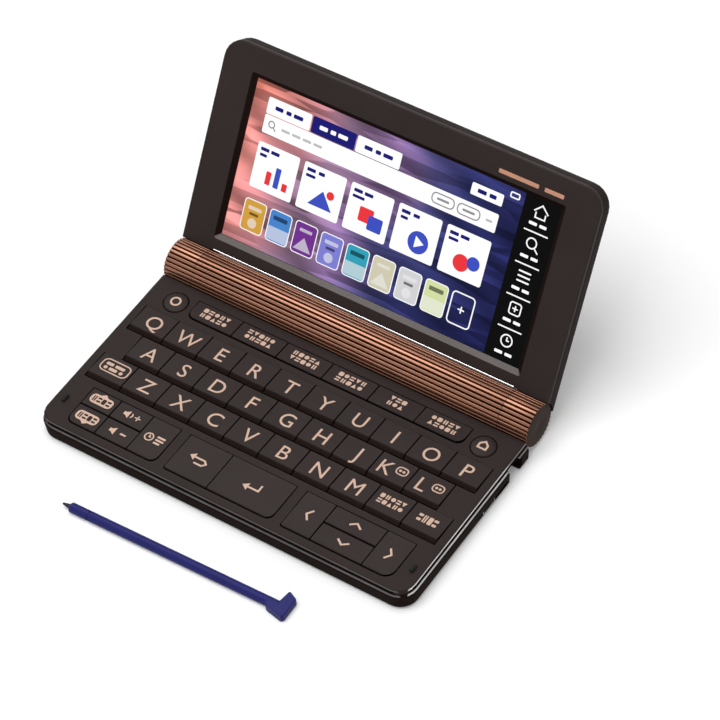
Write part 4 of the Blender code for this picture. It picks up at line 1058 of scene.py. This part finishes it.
legendLook = {
    "letterHeight": 6.3, "letterX": 0.40, "letterY": -0.46, "pen": 0.72, "finePen": 0.50,
    "thickness": 0.00004, "proud": 0.00002,
}
blockShares = {
    # shares of a block's pitch and height
    "dot": 0.42, "barWide": 0.82, "barHigh": 0.30, "barApart": 0.28, "postWide": 0.26,
    "postApart": 0.20, "full": 0.92, "fullWide": 0.80, "peak": 0.45, "foot": 0.4,
}
blockRowGap = 0.45


def topPlane(node):
    # where a key's printed face lies, and how it tilts
    bm = cleanCopy(node)
    top = max((f for f in bm.faces if f.normal.z > 0.9), key=lambda f: f.calc_area())
    middle = top.calc_center_bounds()
    normal = top.normal.copy()
    bm.free()
    across = Vector((1, 0, 0))
    place = Matrix((across, normal.cross(across), normal)).transposed().to_4x4()
    return Matrix.Translation(middle) @ place


def block(mark, x, y, pitch, high):
    # one plain block of a label that stands for words
    share = blockShares
    full = high * share["full"]
    foot, peak = pitch * share["foot"], high * share["peak"]
    apart, rise = pitch * share["postApart"], high * share["barApart"]
    return {
        "o": [("dot", x, y, high * share["dot"])],
        "#": [("bar", x, y, pitch * share["fullWide"], full)],
        "=": [("bar", x, y + step, pitch * share["barWide"], high * share["barHigh"])
              for step in (rise, -rise)],
        "|": [("bar", x + step, y, pitch * share["postWide"], full) for step in (-apart, apart)],
        "v": [("patch", [(x - foot, y + peak), (x, y - peak), (x + foot, y + peak)])],
        "^": [("patch", [(x - foot, y - peak), (x + foot, y - peak), (x, y + peak)])],
    }[mark]


def blockRows(rows, pitch, high, top):
    shapes = []
    for row, pattern in enumerate(rows):
        for i, mark in enumerate(pattern):
            x = (i + 0.5) * pitch - pitch * len(pattern) / 2
            shapes += block(mark, x, top - row * (high + blockRowGap), pitch, high)
    return shapes


def chevron(x, y, half=2.3, rise=0.85):
    # an arrow head that points along x or y
    return [("line", [(-x * rise - y * half, x * half - y * rise), (x * rise, y * rise),
                      (y * half - x * rise, -x * half - y * rise)])]


def letterMark(letter, x=0.0):
    return [("letter", legendLook["letterX"] + x, legendLook["letterY"],
             legendLook["letterHeight"], letter)]


def pillMark(tip):
    # a filled pill with a peak on one side
    return [("bar", 0.0, 0.0, 9.2, 4.2, 1.6),
            ("patch", [(1.5 * tip, 2.1 * tip), (0, 3.2 * tip), (-1.5 * tip, 2.1 * tip)])]


speaker = ("patch", [(-3.3, -0.7), (-2.4, -0.7), (-1.0, -1.7), (-1.0, 1.7), (-2.4, 0.7),
                     (-3.3, 0.7)])
keyMarks = {
    "key_mode": [("box", 0.55, 0.50, 11.4, 5.6, 1.9), ("bar", -2.2, 1.3, 3.0, 1.3),
                 ("bar", 2.1, 1.3, 4.0, 1.3), ("dot", -2.9, -0.7, 0.75),
                 ("bar", 0.3, -0.7, 3.4, 1.3), ("dot", 3.7, -0.7, 0.75)],
    "key_space": blockRows(("#|o=v", "=#^|o"), 2.15, 2.05, 1.4),
    "key_delete": blockRows(("=|#=",), 2.05, 3.7, 0.0),
    "key_jump_back": pillMark(1),
    "key_jump_next": pillMark(-1),
    "key_volume_up": [speaker, ("line", [(-0.1, -1.0), (0.4, 0.0), (-0.1, 1.0)]),
                      *plusSign(2.6, 0.0, 1.2)],
    "key_volume_down": [speaker, ("line", [(1.2, 0.0), (3.6, 0.0)])],
    "key_history": [("ring", -2.2, 0.0, 1.6), ("line", [(-2.2, 1.0), (-2.2, 0.0), (-1.4, 0.0)]),
                    ("bar", 2.2, 1.4, 3.4, 0.8), ("bar", 2.2, 0.0, 3.4, 0.8),
                    ("bar", 1.8, -1.4, 2.6, 0.8)],
    "key_back": [("line", [(-2.4, 0.9), (2.0, 0.9), (3.2, -0.2), (2.0, -1.5), (-1.2, -1.5)]),
                 ("patch", [(-4.2, 0.9), (-2.1, -0.7), (-2.1, 2.5)])],
    "key_enter": [("line", [(3.0, 2.1), (3.0, -0.6), (-1.4, -0.6)]),
                  ("patch", [(-3.6, -0.6), (-1.3, -2.2), (-1.3, 1.0)])],
    "key_power": [("ring", 0.0, 0.0, 1.75)],
    "key_home": [("loop", [(-1.6, -1.4), (1.6, -1.4), (1.6, 0.4), (0.0, 1.8), (-1.6, 0.4)])],
    "key_up": chevron(0, 1),
    "key_down": chevron(0, -1),
    "key_left": chevron(-1, 0),
    "key_right": chevron(1, 0),
}
functionRows = (("#=o|v", "|#^=o"), ("=v#|o", "o|=#^"), ("|#o=^", "v=#o|"),
                ("#o=v|", "=|#^o"), ("v=#", "|o^"), ("o#|=v", "^=o#|"))
for i, rows in enumerate(functionRows):
    keyMarks["key_function_%d" % (i + 1)] = blockRows(rows, 2.35, 2.1, 1.3)
for node in keyNodes:
    letter = node.replace("key_", "").upper()
    if len(letter) == 1:
        keyMarks[node] = letterMark(letter)
for letter in "KL":
    keyMarks["key_" + letter.lower()] = letterMark(letter, -3.0) + [
        ("box", 3.2, 0.6, 4.2, 3.2, 1.3), ("dot", 2.5, 0.6, 0.55), ("dot", 3.9, 0.6, 0.55)]
darkMarks = {node: blockRows(("|=#=",), 2.0, 2.7, 0.0)
             for node in ("key_jump_back", "key_jump_next")}
fineMarks = ("key_mode", "key_history", "key_k", "key_l", "key_volume_up")


def printMark(node, label, shapes, finish, height):
    bm = bmesh.new()
    pen = legendLook["finePen" if node in fineMarks else "pen"]
    for shape in shapes:
        thicken(bm, drawShape(bm, shape, pen, height), legendLook["thickness"])
    mark = solidPiece(bm, node.replace("key_", label), topPlane(node))
    finishPiece(mark, nodes[node]["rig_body"], finish)


print("key marks")
for node, shapes in sorted(keyMarks.items()):
    printMark(node, "mark_", shapes, "legend print", legendLook["proud"])
for node, shapes in sorted(darkMarks.items()):
    printMark(node, "mark_bars_", shapes, "key plastic", legendLook["proud"] * 2)


# the screen's picture, measured in millimetres up the lid from the hinge axis

lidUp = Vector((0, -math.cos(lidOpening), math.sin(lidOpening)))
lidOut = Vector((0, -math.sin(lidOpening), -math.cos(lidOpening)))
lidAxes = Matrix((Vector((1, 0, 0)), lidUp, lidOut)).transposed().to_4x4()
lidPlace = Matrix.Translation(axisPoint) @ lidAxes
glassLevel = -0.0028
layerStep = 0.000015
layerShare = 0.8    # a drawn shape's thickness as a share of the step between layers
white = (0.98, 0.98, 0.98)
navy = (0.010, 0.010, 0.16)
red = (0.80, 0.035, 0.045)
blue = (0.045, 0.075, 0.50)
grey = (0.28, 0.28, 0.30)
paleGrey = (0.5, 0.5, 0.5)
black = (0.002, 0.002, 0.002)

screenLook = {
    "left": -63.2, "right": 63.2, "low": 15.2, "high": 76.0, "barEdge": 48.8, "pen": 0.5,
    "bar": (-57.0, 41.0, 57.6, 64.6), "tabs": ((-57.0, -38.5), (-38.0, -19.5), (-19.0, -0.5)),
    "cards": 5, "cardLow": 36.8, "cardHigh": 54.2, "cardGap": 2.2,
    "tileLow": 20.2, "tileHigh": 32.4, "tileGap": 1.5, "sidebarX": 56.0, "sidebarPlaces": 5,
    "tileInks": ((0.62, 0.33, 0.05), (0.06, 0.22, 0.58), (0.16, 0.03, 0.26), (0.20, 0.20, 0.62),
                 (0.03, 0.34, 0.46), (0.60, 0.57, 0.42), (0.62, 0.62, 0.64), (0.62, 0.70, 0.36)),
}


def dashes(x, y, widths, step, high, corner, ink):
    # short bars in a row, where a line of words would be
    return [(2, ("bar", x + i * step, y, wide, high, corner, ink))
            for i, wide in enumerate(widths)]


def evenPlaces(count, gap):
    # the width of each of this many equal fields under the search line, and their middles
    left, right = screenLook["bar"][:2]
    wide = (right - left - gap * (count - 1)) / count
    return wide, [left + wide / 2 + i * (wide + gap) for i in range(count)]


def searchLine():
    left, right, low, high = screenLook["bar"]
    y = low + 3.5
    shapes = [(1, ("bar", (left + right) / 2, (low + high) / 2, right - left, high - low, 0.6,
                   white)),
              (2, ("ring", left + 3.4, low + 3.9, 1.2, grey)),
              (2, ("line", [(left + 4.3, low + 3.0), (left + 5.4, low + 1.9)], grey))]
    shapes += dashes(left + 9.5, y, (3.6,) * 4, 4.6, 1.0, 0.3, paleGrey)
    for x in (right - 22.0, right - 11.5):
        shapes += [(2, ("box", x, y, 9.0, 3.8, 1.6, grey)),
                   (2, ("bar", x, y, 5.0, 0.9, 0.3, grey))]
    return shapes + dashes(right - 3.2, y, (2.6,), 0.0, 0.9, 0.3, paleGrey)


def tabRow():
    # three tabs with the middle one chosen, a chip and a level mark at the right
    base = screenLook["bar"][3]
    shapes = []
    for i, (start, end) in enumerate(screenLook["tabs"]):
        x = (start + end) / 2
        ground, ink = (navy, white) if i == 1 else (white, navy)
        shapes.append((1, ("bar", x, base + 3.4, end - start, 6.2, 0.6, ground)))
        shapes += dashes(x - 4.2, base + 3.3, (3.4, 2.2, 4.0), 4.1, 1.5, 0.4, ink)
    shapes += [(1, ("bar", 34.6, 69.8, 12.8, 4.4, 0.5, white)),
               (1, ("box", 45.0, 73.4, 3.4, 1.8, 0.4, white))]
    return shapes + dashes(32.6, 69.8, (3.6, 2.8), 4.4, 1.5, 0.3, navy)


def cardPictures(x, y):
    # five plain pictograms in red and blue, one to a card
    return (
        [("bar", x - 3.6, y - 1.6, 2.2, 5.0, 0.3, red), ("bar", x, y - 0.3, 2.2, 7.6, 0.3, blue),
         ("bar", x + 3.6, y - 2.6, 2.2, 3.0, 0.3, red)],
        [("dot", x + 2.4, y + 1.8, 1.6, red),
         ("patch", [(x - 6.0, y - 4.0), (x + 4.2, y - 4.0), (x - 0.8, y + 2.4)], blue)],
        [("bar", x - 2.2, y + 0.6, 6.0, 5.4, 0.6, red),
         ("bar", x + 2.0, y - 1.4, 6.0, 5.4, 0.6, blue)],
        [("dot", x, y - 0.8, 4.2, blue),
         ("patch", [(x - 1.3, y - 3.0), (x + 2.4, y - 0.8), (x - 1.3, y + 1.4)], white)],
        [("dot", x - 2.2, y - 1.2, 3.2, red), ("dot", x + 2.6, y + 0.2, 2.6, blue)],
    )


def cardRow():
    low, high = screenLook["cardLow"], screenLook["cardHigh"]
    y = (low + high) / 2
    wide, places = evenPlaces(screenLook["cards"], screenLook["cardGap"])
    shapes = []
    for i, x in enumerate(places):
        start = x - wide / 2
        shapes.append((1, ("bar", x, y, wide, high - low, 0.8, white)))
        shapes += dashes(start + 3.2, high - 2.4, (3.6, 3.6 - i % 2), 4.4, 1.3, 0.3, navy)
        shapes += dashes(start + 3.0 + i % 3 * 0.4, high - 4.6, (3.0 + i % 3,), 0.0, 1.1, 0.3,
                         navy)
        shapes += [(2 + k, shape) for k, shape in enumerate(cardPictures(x + 1.6, y - 1.8)[i])]
    return shapes


def tileRow():
    # coloured tiles with three plain designs in turn, and an empty one with a plus sign
    low, high = screenLook["tileLow"], screenLook["tileHigh"]
    y = (low + high) / 2
    inks = screenLook["tileInks"]
    wide, places = evenPlaces(len(inks) + 1, screenLook["tileGap"])
    shapes = [(1, ("box", places[-1], y, wide - 0.4, high - low - 0.4, 1.4, white))]
    shapes += [(1, (*shape, white)) for shape in plusSign(places[-1], y, 1.3)]
    for i, (x, ink) in enumerate(zip(places, inks)):
        pale = tuple(min(1.0, value * 0.5 + 0.42) for value in ink)
        dark = tuple(value * 0.25 for value in ink)
        start, end = x - wide / 2, x + wide / 2
        marks = (
            [("bar", x, high - 3.2, wide * 0.60, 1.4, 0.4, pale),
             ("bar", x, high - 5.4, wide * 0.40, 1.0, 0.3, dark),
             ("dot", x, low + 3.4, 1.9, pale)],
            [("bar", x, low + 3.2, wide - 0.7, 5.0, 0.5, pale),
             ("bar", x, high - 3.0, wide * 0.62, 1.6, 0.3, dark)],
            [("patch", [(start + 1, low + 1.6), (end - 1, low + 1.6), (x, low + 6.6)], pale),
             ("bar", x, high - 3.0, wide * 0.55, 1.2, 0.3, pale)])
        shapes += [(1, ("bar", x, y, wide, high - low, 1.4, white)),
                   (2, ("bar", x, y, wide - 0.7, high - low - 0.7, 1.1, ink))]
        shapes += [(3, shape) for shape in marks[i % 3]]
    return shapes


def sidebarIcons(x, y):
    # plain line icons, one to each of the sidebar's five places
    return (
        [("line", [(x - 2.8, y - 0.2), (x, y + 2.4), (x + 2.8, y - 0.2)]),
         ("line", [(x - 1.9, y - 0.4), (x - 1.9, y - 2.4), (x + 1.9, y - 2.4),
                   (x + 1.9, y - 0.4)])],
        [("ring", x - 0.5, y + 0.4, 1.9), ("line", [(x + 0.9, y - 1.0), (x + 2.6, y - 2.6)])],
        [("bar", x, y + step, 5.0, 0.6) for step in (1.8, 0.0, -1.8)],
        [("box", x, y, 4.4, 4.4, 0.9), *plusSign(x, y, 1.1)],
        [("ring", x, y, 2.2), ("line", [(x, y + 1.3), (x, y), (x + 1.0, y)])],
    )


def sidebar():
    edge, right, low, high = (screenLook[k] for k in ("barEdge", "right", "low", "high"))
    x, count = screenLook["sidebarX"], screenLook["sidebarPlaces"]
    shapes = [(1, ("patch", [(edge, low), (right, low), (right, high), (edge, high)], black))]
    step = (high - low) / count
    for i in range(count):
        y = high - step * (i + 0.5)
        shapes += [(2, (*shape, white)) for shape in sidebarIcons(x, y + 1.6)[i]]
        shapes += dashes(x - 2.0, y - 3.2, (3.2, 2.8), 4.0, 1.1, 0.3, white)
        if i:
            shapes.append((2, ("line", [(x - 4.8, y + step / 2), (x + 4.8, y + step / 2)], white)))
    return shapes


def makeScreen():
    left, right, low, high = (screenLook[k] / 1000 for k in ("left", "right", "low", "high"))
    lift = lidPlace @ Matrix.Translation((0, 0, glassLevel))
    bm = bmesh.new()
    slab(bm, [(left, low), (right, low), (right, high), (left, high)], 0.0, layerStep)
    layer = bm.loops.layers.uv.new("picture")
    for face in bm.faces:
        for loop in face.loops:
            x, y, z = loop.vert.co
            loop[layer].uv = ((x - left) / (right - left), (y - low) / (high - low))
    ground = solidPiece(bm, "screen_wallpaper", lift)
    finishPiece(ground, "lid", "screen wallpaper")
    bm = bmesh.new()
    for level, (*shape, tint) in sidebar() + searchLine() + tabRow() + cardRow() + tileRow():
        faces = drawShape(bm, shape, screenLook["pen"], layerStep * (level + 1), tint)
        thicken(bm, faces, layerStep * layerShare)
    finishPiece(solidPiece(bm, "screen_drawing", lift), "lid", "screen drawing")


print("screen")
makeScreen()


# trim on the lid: a bright metal root line for the glint on the bezel's edge, a painted highlight
# band and painted-shade dark slopes round the window, and two copper accent bars

lidTrimLook = {
    "rootHalf": 64.0, "rootUp": 8.95, "rootOut": -1.0, "rootRadius": 0.20, "rootSides": 16,
    "bandLow": 13.0, "bandHigh": 15.1, "bandUp": 0.25, "bandOut": 0.2, "slopeHalf": 65.4,
    "slopeHigh": 78.2, "slopeTilt": (0.3, 0.95),
    "accents": ((45.4, 80.4, 16.0, 1.5), (59.6, 80.4, 7.6, 1.5)), "accentLevel": -0.0010,
    "accentCorner": 0.3,
}


# painted shade: the window's slopes get the dark cover plastic
def isShadedSlope(face):
    local = lidPlace.inverted() @ face.center * 1000
    inside = (abs(local.x) < lidTrimLook["slopeHalf"]
              and lidTrimLook["bandLow"] < local.y < lidTrimLook["slopeHigh"])
    steepest, flattest = lidTrimLook["slopeTilt"]
    return inside and steepest < face.normal.dot(lidOut) < flattest


# painted highlight: the upward slope under the window is given a lighter finish
def isHighlightBand(face):
    height = (lidPlace.inverted() @ face.center).y * 1000
    return (lidTrimLook["bandLow"] < height < lidTrimLook["bandHigh"]
            and face.normal.dot(lidUp) > lidTrimLook["bandUp"]
            and face.normal.dot(lidOut) > lidTrimLook["bandOut"])


def makeLidTrim():
    up, out, radius, half = (lidTrimLook[k] / 1000
                             for k in ("rootUp", "rootOut", "rootRadius", "rootHalf"))
    bm = bmesh.new()
    # a bright metal rod along the bezel's lower edge, standing in for the glint on that edge
    slab(bm, circlePoints(up, out, radius, lidTrimLook["rootSides"]), -half, half)
    line = solidPiece(bm, "lid_root_line", lidPlace @ sideways)
    smoothEdges(line.data)
    finishPiece(line, "lid", "bright trim")
    refinish(moulded["display_bezel"], "cover plastic", isShadedSlope)
    refinish(moulded["display_bezel"], "satin band", isHighlightBand)
    bm = bmesh.new()
    for accent in lidTrimLook["accents"]:
        faces = drawShape(bm, ("bar", *accent, lidTrimLook["accentCorner"]), screenLook["pen"],
                          lidTrimLook["accentLevel"] + legendLook["proud"])
        thicken(bm, faces, legendLook["thickness"])
    accents = solidPiece(bm, "lid_accent_bars", lidPlace)
    finishPiece(accents, "lid", "accent print")


print("lid trim")
makeLidTrim()


# stage, light and camera

stageLook = {
    "floorSize": 3.0, "floorColour": (0.88, 0.88, 0.88), "floorRoughness": 0.9,
    "floorGlow": 0.13, "fadeFrom": 0.22, "fadeTo": 0.75, "farGlow": 0.66, "worldStrength": 0.50,
}
lamps = (
    # name, place, size, watts, lights surfaces, shows in gloss
    ("barrel softbox", (-0.48, 0.27, 1.05), 0.80, 8.2, False, True),
    ("overhead softbox", (-0.06, -0.20, 1.08), 0.80, 8.8, True, False),
)
lampTarget = Vector((0.0, 0.02, 0.02))
view = {
    "azimuth": 38.98423, "elevation": 49.77882, "roll": -6.79782, "distance": 1.247843,
    "targetX": 0.0020224, "targetY": 0.0382205, "lens": 175.09, "sensor": 36.0, "near": 0.01,
}
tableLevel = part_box("base_bottom_case")[0].z


def seenDirectly(tree):
    # 1 for rays from the camera, and for those that metal and glass send on
    path = addNode(tree, "ShaderNodeLightPath").outputs
    first = calc(tree, "MAXIMUM", path["Is Camera Ray"], path["Is Glossy Ray"])
    return calc(tree, "MAXIMUM", first, path["Is Transmission Ray"])


def makeWorld():
    world = bpy.data.worlds.new("studio")
    bpy.context.scene.world = world
    world.use_nodes = True
    tree = world.node_tree
    ground = tree.nodes["Background"]
    feed(tree, ground.inputs["Color"], (1.0, 1.0, 1.0))
    feed(tree, ground.inputs["Strength"],
         remap(tree, seenDirectly(tree), 0.0, 1.0, stageLook["worldStrength"], 1.0))


def makeFloor():
    half = stageLook["floorSize"] / 2
    bm = bmesh.new()
    fillShape(bm, [(-half, -half), (half, -half), (half, half), (-half, half)], tableLevel)
    floor = linkObject("studio_floor", meshFrom(bm, "studio_floor"))
    tree, shader = newMaterial("studio floor")
    # the glow grows away from the object, so the floor's far end fades into the white world
    away = vectorCalc(tree, "LENGTH", objectPlace(tree), output="Value")
    glow = remap(tree, away, stageLook["fadeFrom"], stageLook["fadeTo"],
                 stageLook["floorGlow"], stageLook["farGlow"])
    feedAll(tree, shader, {
        "Base Color": stageLook["floorColour"], "Roughness": stageLook["floorRoughness"],
        "Specular IOR Level": 0.0, "Emission Color": (1.0, 1.0, 1.0),
        "Emission Strength": product(tree, seenDirectly(tree), glow)})
    floor.data.materials.append(finishes["studio floor"])


def makeLamps():
    for name, place, size, power, diffuse, glossy in lamps:
        data = bpy.data.lights.new(name, "AREA")
        data.shape = "SQUARE"
        data.size = size
        data.energy = power
        lamp = linkObject(name, data)
        lamp.visible_diffuse = diffuse
        lamp.visible_glossy = glossy
        aim = (lampTarget - Vector(place)).to_track_quat("-Z", "Y").to_matrix().to_4x4()
        lamp.matrix_world = Matrix.Translation(place) @ aim


def makeCamera():
    azimuth, elevation, roll = (math.radians(view[k]) for k in ("azimuth", "elevation", "roll"))
    turned = (Matrix.Rotation(azimuth, 4, "Z") @ Matrix.Rotation(math.pi / 2 - elevation, 4, "X")
              @ Matrix.Rotation(roll, 4, "Z"))
    target = Vector((view["targetX"], view["targetY"], tableLevel))
    data = bpy.data.cameras.new("photo view")
    data.lens = view["lens"]
    data.sensor_width = view["sensor"]
    data.clip_start = view["near"]
    camera = linkObject("photo view", data)
    camera.matrix_world = (Matrix.Translation(target) @ turned
                           @ Matrix.Translation((0, 0, view["distance"])))
    bpy.context.scene.camera = camera


print("stage")
bpy.context.scene.view_settings.view_transform = "Standard"
makeWorld()
makeFloor()
makeLamps()
makeCamera()

print("finished")
